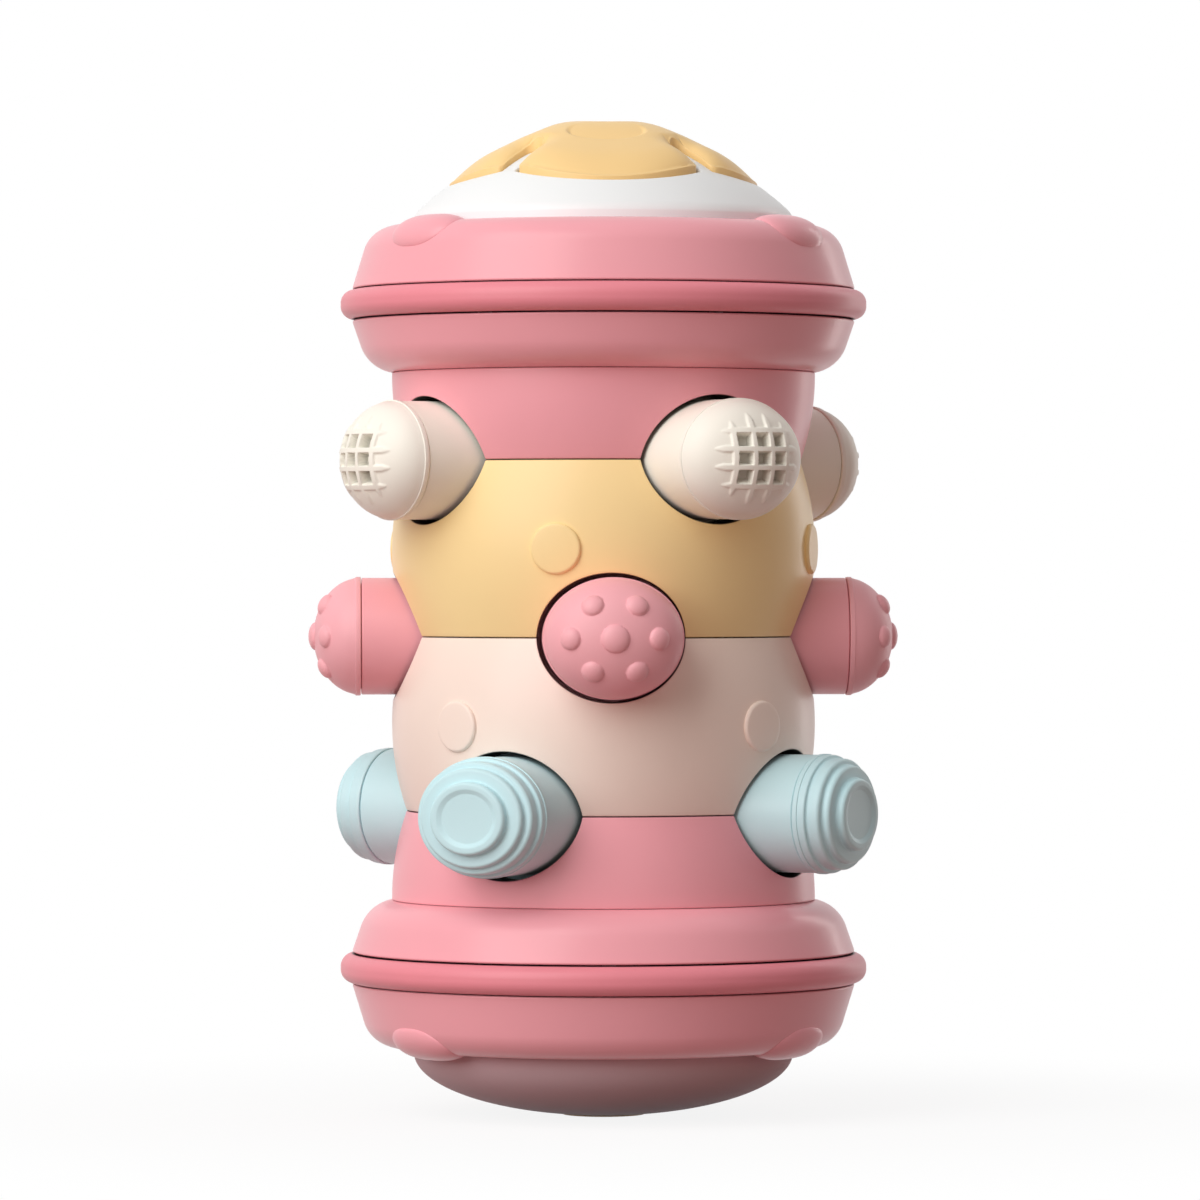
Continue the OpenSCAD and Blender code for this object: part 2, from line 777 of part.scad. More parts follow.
// Stack of round-edged ovals, each smaller than the one below, with a shallow dish on top.
module terrace_dome() {
    last = len(terrace_share) - 1;
    top = terrace_level[last] * cap_rise;
    dish_half = terrace_share[last] * peg_w / 2 - terrace_round[last];
    dish_curve_r = (pow(dish_half, 2) + pow(terrace_dish, 2)) / (2 * terrace_dish);
    scale([peg_h / peg_w, 1, 1])
        difference() {
            rotate_extrude($fn = fine)
                for (i = [0 : last]) {
                    r = terrace_share[i] * peg_w / 2;
                    z = terrace_level[i] * cap_rise;
                    edge = terrace_round[i];
                    square([r - edge, z]);
                    square([r, z - edge]);
                    translate([r - edge, z - edge])
                        intersection() {
                            circle(r = edge, $fn = small);
                            square(edge);
                        }
                }
            translate([0, 0, top - terrace_dish + dish_curve_r]) sphere(r = dish_curve_r, $fn = fine);
        }
}

module cap(row) {
    translate([0, 0, part_r])
        difference() {
            union() {
                oval_prism(peg_w + 2 * cap_lip, peg_h + 2 * cap_lip, 0, lip_h);
                if (row == 0) grid_dome();
                if (row == 1) bump_dome();
                if (row == 2) terrace_dome();
            }
            oval_dome(peg_w - 2 * cap_wall, peg_h - 2 * cap_wall, cap_rise - cap_wall);
        }
}

module peg_piece(row, piece) {
    color([cap_cream, cap_pink, cap_blue][row]) {
        if (piece == "cap") cap(row);
        if (piece == "plunger") plunger();
    }
    if (piece == "spring") peg_spring();
}

band_top_pink();
band_yellow();
band_blush();
band_bottom_pink();
inner_rim_top();
inner_rim_bottom();
outer_rim_top();
outer_rim_bottom();
tyre_top();
tyre_bottom();
dome_top();
dome_bottom();
flower_button();
button_spring();
foot_disc();
spine();
rim_screws_top();
rim_screws_bottom();
for (row = [0 : rows - 1], k = [1 : pegs_per_row], piece = ["cap", "plunger", "spring"]) {
    at_peg(row, k) peg_piece(row, piece);
}
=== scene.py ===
"""Looks of a crawling roller: moulded barrel bands, flanged ends, a flower button and twelve push pegs.

Every new piece is a surface worked out with numpy, in millimetres, and is put into its mesh in metres,
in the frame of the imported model.
"""

from __future__ import annotations

import logging
from dataclasses import dataclass, field
from enum import Enum
from typing import Any, Callable, Optional, Sequence, Union

import bmesh
import bpy
import numpy as np
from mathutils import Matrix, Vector

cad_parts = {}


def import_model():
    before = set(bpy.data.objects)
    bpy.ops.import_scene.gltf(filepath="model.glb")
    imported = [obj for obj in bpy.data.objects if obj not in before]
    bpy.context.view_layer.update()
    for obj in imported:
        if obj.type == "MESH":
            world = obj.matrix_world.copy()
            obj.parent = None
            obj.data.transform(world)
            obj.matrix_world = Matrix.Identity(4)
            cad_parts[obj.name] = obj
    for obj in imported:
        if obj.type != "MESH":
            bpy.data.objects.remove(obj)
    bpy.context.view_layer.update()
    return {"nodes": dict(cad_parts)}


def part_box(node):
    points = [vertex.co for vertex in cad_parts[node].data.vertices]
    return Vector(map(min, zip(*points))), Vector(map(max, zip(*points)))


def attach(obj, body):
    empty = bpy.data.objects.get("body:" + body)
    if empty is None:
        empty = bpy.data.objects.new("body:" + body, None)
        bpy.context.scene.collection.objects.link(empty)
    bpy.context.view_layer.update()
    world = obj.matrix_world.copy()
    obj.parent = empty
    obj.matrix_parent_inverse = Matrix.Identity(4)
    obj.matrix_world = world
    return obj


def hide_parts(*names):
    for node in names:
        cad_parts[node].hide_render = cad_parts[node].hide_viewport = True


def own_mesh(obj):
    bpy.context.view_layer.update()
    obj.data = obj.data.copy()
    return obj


MM = 0.001
FULL_TURN = 2 * np.pi
FRONT = -np.pi / 2  # the side that faces the camera
TINY = 1e-9
ANGLE_DIGITS = 4
MERGE_DISTANCE = 2e-7
ROOT_BODY = "roller"
# Point attribute that carries painted shade, and the black that it blends a colour to where shade falls deep
# in gaps, holes and cells.
PAINTED_SHADE_ATTRIBUTE = "painted_shade"
PAINTED_SHADE_BLACK = (0.004, 0.003, 0.003, 1.0)
WHITE = (1.0, 1.0, 1.0, 1.0)

Array = np.ndarray
Colour = tuple[float, float, float]
Place = tuple[float, float, float]
Pair = tuple[float, float]

log = logging.getLogger("roller")


class Named(Enum):
    """Choice whose members are written in the frame in small letters."""

    @property
    def word(self) -> str:
        """Name of the member as the frame writes it."""
        return self.name.lower()


class Row(Named):
    """Rows of pegs, with the place of a row above the middle seam, in band pitches."""

    CREAM = 1
    PINK = 0
    BLUE = -1


class End(Named):
    """Ends of the roller, with the direction from the middle seam to that end."""

    TOP = 1
    BOTTOM = -1


# Surfaces


def circle(count: int) -> Array:
    """Evenly spread angles of a full turn."""
    return np.linspace(0, FULL_TURN, count, endpoint=False)


def quarter_turn(count: int) -> Array:
    """Angles from 0 to a quarter turn."""
    return np.linspace(0, np.pi / 2, count)


def polar(radius: Array, angle: Array, height: Array) -> Array:
    """Points (r cos a, r sin a, z) in the shape that the three values share."""
    return np.stack(np.broadcast_arrays(radius * np.cos(angle), radius * np.sin(angle), height), axis=-1)


def turned(x: Array, y: Array, turn: Array) -> tuple[Array, Array]:
    """Places turned about the axis: x cos t - y sin t, and x sin t + y cos t."""
    return x * np.cos(turn) - y * np.sin(turn), x * np.sin(turn) + y * np.cos(turn)


def smooth_step(low: float, high: float, value: Array) -> Array:
    """Soft step from 0 at low to 1 at high: t * t * (3 - 2 t)."""
    t = np.clip((value - low) / (high - low), 0, 1)
    return t * t * (3 - 2 * t)


def evenly(line: Array, count: int) -> Array:
    """Spreads points along a line by its length, which is the sum of the steps so far.

    Args:
        line: points of the line, shape (n, 2).
        count: number of new points; the line's last point isn't one of them.

    Returns:
        The new points, shape (count, 2).
    """
    length = np.append(0, np.cumsum(np.linalg.norm(np.diff(line, axis=0), axis=1)))
    places = np.linspace(0, length[-1], count, endpoint=False)
    return np.stack([np.interp(places, length, line[:, axis]) for axis in (0, 1)], axis=1)


def rounded(
    corners: Sequence[tuple[float, float, float]], steps: int = 7, closed: bool = True, share: float = 0.49
) -> Array:
    """Polyline whose corners are replaced by tangent arcs.

    At a corner with half angle h, an arc of radius r touches both sides at r / tan(h) from the corner and
    its centre lies at r / sin(h) on the bisector. The radius is limited by the shorter side.

    Args:
        corners: x, y and rounding radius of each corner.
        steps: points on an arc.
        closed: whether the last corner joins the first.
        share: most of the shorter side that an arc may take up.

    Returns:
        Points of the rounded line, shape (n, 2).
    """
    places = np.array([corner[:2] for corner in corners], float)
    count = len(corners)
    points: list[Array] = []
    for index, (_, _, radius) in enumerate(corners):
        here = places[index]
        if radius <= 0 or (not closed and index in (0, count - 1)):
            points.append(here[None])
            continue
        before = places[index - 1] - here
        after = places[(index + 1) % count] - here
        reach = min(np.linalg.norm(before), np.linalg.norm(after)) * share
        before = before / np.linalg.norm(before)
        after = after / np.linalg.norm(after)
        half = np.arccos(np.clip(before @ after, -1, 1)) / 2
        radius = min(radius, reach * np.tan(half))
        bisector = (before + after) / max(np.linalg.norm(before + after), TINY)
        centre = here + bisector * radius / np.sin(half)
        first = here + before * radius / np.tan(half) - centre
        last = here + after * radius / np.tan(half) - centre
        start = np.arctan2(first[1], first[0])
        sweep = (np.arctan2(last[1], last[0]) - start + np.pi) % FULL_TURN - np.pi
        angle = start + sweep * np.linspace(0, 1, steps)
        points.append(centre + radius * np.stack([np.cos(angle), np.sin(angle)], axis=1))
    return np.concatenate(points)


def lathe(profile: Array, columns: int = 288) -> Array:
    """Profile of (radius, height), shape (n, 2), carried round the axis into a grid of n rows."""
    return polar(profile[:, :1], circle(columns), profile[:, 1:])


def helix(span: Pair, coil_r: float, wire_r: float, coil_turns: int) -> Array:
    """Round wire on a helix: its middle climbs evenly as it goes round, and its ends close.

    Args:
        span: heights of the wire's middle at its first and last end.
        coil_r: mean radius of the coil.
        wire_r: radius of the wire.
        coil_turns: number of turns.

    Returns:
        Grid of points, shape (rows, columns, 3), that climbs along the third axis.
    """
    rows_per_turn, columns = 40, 12
    first, last = span
    turns = np.linspace(0, FULL_TURN * coil_turns, coil_turns * rows_per_turn)
    turns = np.concatenate([turns[:1], turns, turns[-1:]])[:, None]
    wire = np.full_like(turns, wire_r)
    wire[[0, -1]] = 0
    around = circle(columns)
    height = first + (last - first) * turns / turns[-1] + wire * np.sin(around)
    return polar(coil_r + wire * np.cos(around), turns, height)


@dataclass
class Skin:
    """Grids of points in millimetres that are gathered into one closed mesh.

    Attributes:
        points: points of each grid.
        quads: corner numbers of the faces of each grid.
        painted_shades: painted shade of the points of each grid.
        count: number of points so far.
    """

    points: list[Array] = field(default_factory=list)
    quads: list[Array] = field(default_factory=list)
    painted_shades: list[Array] = field(default_factory=list)
    count: int = 0

    def add(self, grid: Array, closed_rows: bool = True, painted_shade: Union[Array, float] = 0.0) -> Skin:
        """Adds a grid whose columns always close.

        Args:
            grid: points, shape (rows, columns, 3); a row that shrinks to a point is a pole.
            closed_rows: whether the last row joins the first.
            painted_shade: painted shade from 0 to 1, that turns the colour black deep in a gap.

        Returns:
            The skin itself.
        """
        rows, columns = grid.shape[:2]
        index = np.arange(rows * columns).reshape(rows, columns) + self.count
        lower = index if closed_rows else index[:-1]
        upper = np.roll(index, -1, axis=0) if closed_rows else index[1:]
        quads = np.stack([lower, np.roll(lower, -1, axis=1), np.roll(upper, -1, axis=1), upper], axis=2)
        self.points.append(grid.reshape(-1, 3))
        self.quads.append(quads.reshape(-1, 4))
        self.painted_shades.append(np.broadcast_to(painted_shade, (rows, columns)).ravel())
        self.count += rows * columns
        return self

    def mesh(self, name: str, sharp_angle: float) -> bpy.types.Mesh:
        """Makes the mesh, with poles merged and faces pointing out.

        Args:
            name: name of the mesh.
            sharp_angle: angle in degrees above which an edge is shaded sharp.

        Returns:
            The new mesh, in metres.
        """
        mesh = bpy.data.meshes.new(name)
        mesh.from_pydata(np.concatenate(self.points) * MM, [], np.concatenate(self.quads).tolist())
        # Painted shade goes onto the points as an attribute that the materials read.
        mesh.attributes.new(PAINTED_SHADE_ATTRIBUTE, "FLOAT", "POINT").data.foreach_set("value", np.concatenate(self.painted_shades))
        shell = bmesh.new()
        shell.from_mesh(mesh)
        bmesh.ops.remove_doubles(shell, verts=shell.verts, dist=MERGE_DISTANCE)
        bmesh.ops.recalc_face_normals(shell, faces=shell.faces)
        shell.to_mesh(mesh)
        shell.free()
        mesh.shade_smooth()
        mesh.set_sharp_from_angle(angle=np.radians(sharp_angle))
        return mesh


def add_object(name: str, data: bpy.types.ID) -> bpy.types.Object:
    """Puts a mesh, a lamp or a camera into the scene.

    Args:
        name: name of the object.
        data: what it shows.

    Returns:
        The new object.
    """
    made = bpy.data.objects.new(name, data)
    bpy.context.scene.collection.objects.link(made)
    return made


# Shader graphs


Value = Union["Sock", float]


class Sock:
    """Output socket that adds Math nodes when it stands in an expression."""

    def __init__(self, graph: Graph, socket: Optional[bpy.types.NodeSocket]) -> None:
        """Keeps the socket and the graph that it is in."""
        self.graph = graph
        self.socket = socket

    def _math(self, operation: str, left: Value, right: Value) -> Sock:
        """Adds one Math node on two values."""
        return self.graph.node("ShaderNodeMath", {"operation": operation}, {0: left, 1: right})

    def __add__(self, other: Value) -> Sock:
        """Sum."""
        return self._math("ADD", self, other)

    def __radd__(self, other: Value) -> Sock:
        """Sum with a number on the left."""
        return self._math("ADD", other, self)

    def __sub__(self, other: Value) -> Sock:
        """Difference."""
        return self._math("SUBTRACT", self, other)

    def __rsub__(self, other: Value) -> Sock:
        """Difference from a number on the left."""
        return self._math("SUBTRACT", other, self)

    def __mul__(self, other: Value) -> Sock:
        """Product."""
        return self._math("MULTIPLY", self, other)

    def __rmul__(self, other: Value) -> Sock:
        """Product with a number on the left."""
        return self._math("MULTIPLY", other, self)

    def most(self, other: Value) -> Sock:
        """Larger of two values."""
        return self._math("MAXIMUM", self, other)


class Graph:
    """Node tree of a material or a world, emptied and filled by one method."""

    def __init__(self, tree: bpy.types.NodeTree) -> None:
        """Empties the tree."""
        self.tree = tree
        self.tree.nodes.clear()

    def node(
        self,
        kind: str,
        settings: Optional[dict[str, Any]] = None,
        inputs: Optional[dict[Union[str, int], Any]] = None,
        output: Union[str, int] = 0,
    ) -> Sock:
        """Adds a node.

        Args:
            kind: type of the node.
            settings: properties, set before the sockets.
            inputs: value or link of each socket, by name or number.
            output: socket that is handed back.

        Returns:
            The chosen output, or an empty one where the node has none.
        """
        made = self.tree.nodes.new(kind)
        for name, value in (settings or {}).items():
            setattr(made, name, value)
        for key, value in (inputs or {}).items():
            if isinstance(value, Sock):
                self.tree.links.new(value.socket, made.inputs[key])
            else:
                made.inputs[key].default_value = value
        return Sock(self, made.outputs[output] if len(made.outputs) else None)

    def blend(self, share: Value, first: Any, second: Any) -> Sock:
        """Mixes two colours by a share."""
        return self.node("ShaderNodeMix", {"data_type": "RGBA"}, {0: share, 6: first, 7: second}, 2)

    def mix(self, share: Sock, first: Sock, second: Sock) -> Sock:
        """Mixes two shaders by a share."""
        return self.node("ShaderNodeMixShader", None, {0: share, 1: first, 2: second})

    def noise(self, place: Sock, scale: float, detail: float = 2.0, roughness: float = 0.5) -> Sock:
        """Cloudy noise between 0 and 1, with its scale per metre."""
        inputs = {"Vector": place, "Scale": scale, "Detail": detail, "Roughness": roughness}
        return self.node("ShaderNodeTexNoise", None, inputs)

    def ramp(self, value: Sock, span: Pair, ends: Pair = (0.0, 1.0)) -> Sock:
        """Soft step from the first end to the second while a value goes through a span.

        Args:
            value: the value.
            span: where the step starts and where it is done.
            ends: values before and after the step.

        Returns:
            The stepped value.
        """
        inputs = {"Value": value, "From Min": span[0], "From Max": span[1]}
        inputs.update({"To Min": ends[0], "To Max": ends[1]})
        return self.node("ShaderNodeMapRange", {"interpolation_type": "SMOOTHSTEP"}, inputs)

    def principled(self, inputs: dict[str, Any]) -> None:
        """Closes a material with the Principled shader."""
        shader = self.node("ShaderNodeBsdfPrincipled", None, inputs)
        self.node("ShaderNodeOutputMaterial", None, {"Surface": shader})


def blank_material(name: str) -> tuple[bpy.types.Material, Graph]:
    """Starts a node material.

    Args:
        name: name of the material.

    Returns:
        The material and its empty graph.
    """
    made = bpy.data.materials.new(name)
    made.use_nodes = True
    return made, Graph(made.node_tree)


def linear(colour: Colour, gain: float = 1.0) -> tuple[float, float, float, float]:
    """Turns a screen colour into linear light by the screen's own curve.

    Args:
        colour: red, green and blue from 0 to 255.
        gain: factor on the light.

    Returns:
        Red, green, blue and alpha from 0 to 1.
    """
    share = np.array(colour) / 255
    light = np.where(share <= 0.04045, share / 12.92, ((share + 0.055) / 1.055) ** 2.4)
    return (*np.clip(light * gain, 0, 1), 1.0)


# Finishes


@dataclass(frozen=True)
class MouldedPlastic:
    """Dyed plastic from a mould: soft clouds in the dye, a fine grain and a gloss that wanders a little.

    Attributes:
        name: name of the material.
        colour: screen colour of the dye.
        roughness: mean roughness.
        wander: how much the roughness wanders.
        clouds: how much the dye wanders, as a share of its light.
        cloud_scale: clouds per metre.
        smear_scale: smears in the gloss per metre.
        grain_depth: depth of the grain in metres.
        grain_scale: grains per metre.
        flow_depth: depth of the long waves that the flow of plastic leaves, in metres.
        flow_scale: those waves per metre.
        specular: specular level.
    """

    name: str
    colour: Colour
    roughness: float = 0.34
    wander: float = 0.08
    clouds: float = 0.035
    cloud_scale: float = 26.0
    smear_scale: float = 234.0
    grain_depth: float = 0.000012
    grain_scale: float = 2600.0
    flow_depth: float = 0.00006
    flow_scale: float = 57.2
    specular: float = 0.3

    def material(self) -> bpy.types.Material:
        """Builds the node material.

        Painted shade blends the dye to black deep in gaps and cells; the bump is the sum of grain and flow.

        Returns:
            The new material.
        """
        made, graph = blank_material(self.name)
        made.diffuse_color = linear(self.colour)
        place = graph.node("ShaderNodeTexCoord", None, None, "Object")
        clouds = graph.noise(place, self.cloud_scale, detail=4.0, roughness=0.6)
        grain = graph.noise(place, self.grain_scale, roughness=0.6)
        flow = graph.noise(place, self.flow_scale, detail=1.0)
        smears = graph.noise(place, self.smear_scale, detail=5.0, roughness=0.7)
        dye = graph.blend(clouds, linear(self.colour, 1 - self.clouds), linear(self.colour, 1 + self.clouds))
        # Painted shade: the attribute blackens the dye where shade falls in gaps and cells.
        painted_shade = graph.node("ShaderNodeAttribute", {"attribute_name": PAINTED_SHADE_ATTRIBUTE}, None, "Fac")
        height = grain * (self.grain_depth / self.flow_depth) + flow
        bump = {"Strength": 1.0, "Distance": self.flow_depth, "Height": height}
        graph.principled({
            "Base Color": graph.blend(painted_shade, dye, PAINTED_SHADE_BLACK),
            "Roughness": self.roughness + (smears - 0.5) * self.wander + (clouds - 0.5) * self.wander,
            "Normal": graph.node("ShaderNodeBump", None, bump),
            "Specular IOR Level": self.specular,
        })
        return made


@dataclass(frozen=True)
class DrawnSteel:
    """Drawn spring and screw steel: faint draw lines and a satin that wanders.

    Attributes:
        name: name of the material.
        colour: screen colour of the metal.
        roughness: mean roughness.
        wander: how much the roughness wanders.
        stain_gain: darkest and lightest share of the colour.
        stain_scale: stains per metre.
        line_scale: draw lines per metre.
        line_depth: depth of those lines in metres.
        line_strength: strength of their bump.
    """

    name: str
    colour: Colour = (196, 198, 202)
    roughness: float = 0.32
    wander: float = 0.2
    stain_gain: Pair = (0.82, 1.06)
    stain_scale: float = 180.0
    line_scale: float = 3200.0
    line_depth: float = 0.00001
    line_strength: float = 0.6

    def material(self) -> bpy.types.Material:
        """Builds the node material.

        Returns:
            The new material.
        """
        made, graph = blank_material(self.name)
        made.diffuse_color = linear(self.colour)
        place = graph.node("ShaderNodeTexCoord", None, None, "Object")
        stain = graph.noise(place, self.stain_scale, detail=4.0, roughness=0.6)
        lines = graph.noise(place, self.line_scale)
        bump = {"Strength": self.line_strength, "Distance": self.line_depth, "Height": lines}
        dull, bright = (linear(self.colour, gain) for gain in self.stain_gain)
        graph.principled({
            "Base Color": graph.blend(stain, dull, bright),
            "Metallic": 1.0,
            "Roughness": self.roughness + (stain - 0.5) * self.wander,
            "Normal": graph.node("ShaderNodeBump", None, bump),
        })
        return made


Finish = Union[MouldedPlastic, DrawnSteel]

RUBBER_GRAIN = 0.00002
COARSE_GRAIN = 0.00003

SHELL_PINK = MouldedPlastic("shell_pink_plastic", (246, 171, 181))
RIM_PINK = MouldedPlastic("rim_pink_plastic", (246, 171, 181), roughness=0.3)
TYRE_PINK = MouldedPlastic("tyre_pink_rubber", (235, 142, 154), roughness=0.4, grain_depth=RUBBER_GRAIN)
BAND_YELLOW = MouldedPlastic("band_yellow_plastic", (255, 226, 165))
BAND_BLUSH = MouldedPlastic("band_blush_plastic", (248, 230, 218))
DOME_WHITE = MouldedPlastic("dome_white_plastic", (244, 248, 249), clouds=0.015)
# Painted shade: the lower dome is the same white plastic as the upper one, dyed greyish pink for its shade
# under the roller.
LOWER_DOME_SHADED = MouldedPlastic(
    "lower_dome_shaded_plastic", (208, 183, 189), roughness=0.55, clouds=0.015, specular=0.05
)
FLOWER_YELLOW = MouldedPlastic("flower_yellow_plastic", (250, 214, 149), roughness=0.4)
FOOT_YELLOW = MouldedPlastic("foot_yellow_rubber", (240, 200, 140), roughness=0.5, grain_depth=COARSE_GRAIN)
FRAME_PLASTIC = MouldedPlastic("frame_grey_plastic", (206, 206, 200), roughness=0.5, grain_depth=COARSE_GRAIN)
STEEL = DrawnSteel("drawn_steel")

CAP_FINISH = {
    Row.CREAM: MouldedPlastic("cap_cream_rubber", (250, 249, 238), roughness=0.46, grain_depth=RUBBER_GRAIN),
    Row.PINK: MouldedPlastic("cap_pink_rubber", (247, 180, 188), roughness=0.44, grain_depth=RUBBER_GRAIN),
    Row.BLUE: MouldedPlastic("cap_blue_rubber", (202, 237, 243), roughness=0.42, grain_depth=RUBBER_GRAIN),
}
PEG_FINISH = {
    Row.CREAM: MouldedPlastic("peg_cream_plastic", (250, 249, 236), roughness=0.38),
    Row.PINK: MouldedPlastic("peg_pink_plastic", (245, 171, 180), roughness=0.38),
    Row.BLUE: MouldedPlastic("peg_blue_plastic", (202, 237, 243), roughness=0.38),
}


@dataclass
class Workshop:
    """Makes pieces, dresses them and joins them to the frame.

    Attributes:
        nodes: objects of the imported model, by node.
        materials: materials that are already built, by name.
    """

    nodes: dict[str, bpy.types.Object]
    materials: dict[str, bpy.types.Material] = field(default_factory=dict)

    def finish(self, finish: Finish) -> bpy.types.Material:
        """Builds the material of a finish, once.

        Args:
            finish: the finish.

        Returns:
            Its material.
        """
        if finish.name not in self.materials:
            self.materials[finish.name] = finish.material()
        return self.materials[finish.name]

    def piece(
        self,
        name: str,
        skin: Skin,
        finish: Finish,
        replaced: Sequence[str],
        body: str = ROOT_BODY,
        sharp_angle: float = 50.0,
    ) -> bpy.types.Object:
        """Turns a skin into a dressed piece that rides on a body.

        Args:
            name: name of the piece.
            skin: its surface.
            finish: its finish.
            replaced: nodes of the frame that it stands for.
            body: body that it rides on.
            sharp_angle: angle in degrees above which an edge is shaded sharp.

        Returns:
            The new object.
        """
        mesh = skin.mesh(name, sharp_angle)
        mesh.materials.append(self.finish(finish))
        made = add_object(name, mesh)
        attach(made, body)
        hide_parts(*replaced)
        log.info("%s: %d faces on %s", name, len(mesh.polygons), body)
        return made

    def dress(self, names: Sequence[str], finish: Finish) -> None:
        """Gives nodes of the frame a finish.

        Args:
            names: the nodes.
            finish: their finish.
        """
        for name in names:
            for held in self.nodes[name].material_slots:
                held.material = self.finish(finish)
            log.info("%s: dressed with %s", name, finish.name)


# Shared sizes


@dataclass(frozen=True)
class Plan:
    """Sizes that the sub-assemblies share, in millimetres.

    Heights of an end count from the middle seam outward.

    Attributes:
        mid_z: height of the middle seam.
        pitch: height of a band.
        band_r: radius of a band at its fullest.
        seam_sag: how much smaller the radius is at a seam.
        end_band_h: height of the half band at an end.
        wall: wall of the mouldings.
        hidden_round: rounding of edges that are out of sight.
        peg_w: width of a peg round the body.
        peg_h: height of a peg along the body.
        peg_gap: clearance of a peg in its hole.
        row_twist: turn from one row of pegs to the next, in degrees.
        pegs_in_row: pegs in a row.
        inner_rim_h: depth of the inner rim.
        tyre_h: height of the tyre.
        outer_rim_h: depth of the outer rim.
        dome_r: radius of a dome at its edge.
        skirt_h: depth of a dome's skirt.
    """

    mid_z: float
    pitch: float
    band_r: float = 48.6
    seam_sag: float = 3.4
    end_band_h: float = 20.6
    wall: float = 2.4
    hidden_round: float = 0.3
    peg_w: float = 31.0
    peg_h: float = 26.8
    peg_gap: float = 1.1
    row_twist: float = 30.0
    pegs_in_row: int = 4
    inner_rim_h: float = 11.9
    tyre_h: float = 7.1
    outer_rim_h: float = 16.0
    dome_r: float = 43.6
    skirt_h: float = 6.0

    @classmethod
    def from_frame(cls) -> Plan:
        """Reads the middle seam and the pitch off the yellow band."""
        low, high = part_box("band_yellow")
        return cls(mid_z=low.z / MM, pitch=(high.z - low.z) / MM)

    @property
    def end_z(self) -> float:
        """Face of the half band."""
        return self.pitch + self.end_band_h

    @property
    def tyre_z(self) -> float:
        """Near face of the tyre."""
        return self.end_z + self.inner_rim_h

    @property
    def outer_z(self) -> float:
        """Far face of the tyre."""
        return self.tyre_z + self.tyre_h

    @property
    def rim_top_z(self) -> float:
        """Far face of the outer rim."""
        return self.outer_z + self.outer_rim_h

    @property
    def peg_step(self) -> float:
        """Angle from one peg of a row to the next, in radians."""
        return FULL_TURN / self.pegs_in_row

    @property
    def arc_r(self) -> float:
        """Radius of the arc that a band's side follows: (half pitch squared + sag squared) / (2 sag)."""
        return ((self.pitch / 2) ** 2 + self.seam_sag**2) / (2 * self.seam_sag)

    def side_r(self, off: Array) -> Array:
        """Radius of a band at a height off its fullest: the arc's centre + sqrt(arc radius^2 - off^2)."""
        return self.band_r - self.arc_r + np.sqrt(self.arc_r**2 - off**2)

    def row_z(self, row: Row) -> float:
        """Height of a row of pegs."""
        return self.mid_z + row.value * self.pitch

    def row_turn(self, row: Row) -> float:
        """Angle of the first peg of a row, in radians."""
        return np.radians(row.value * self.row_twist - 90)

    def at_end(self, profile: Array, end: End) -> Array:
        """Puts a profile of (radius, height from the middle seam) at one end."""
        return np.stack([profile[:, 0], self.mid_z + end.value * profile[:, 1]], axis=1)


# Sub-assemblies


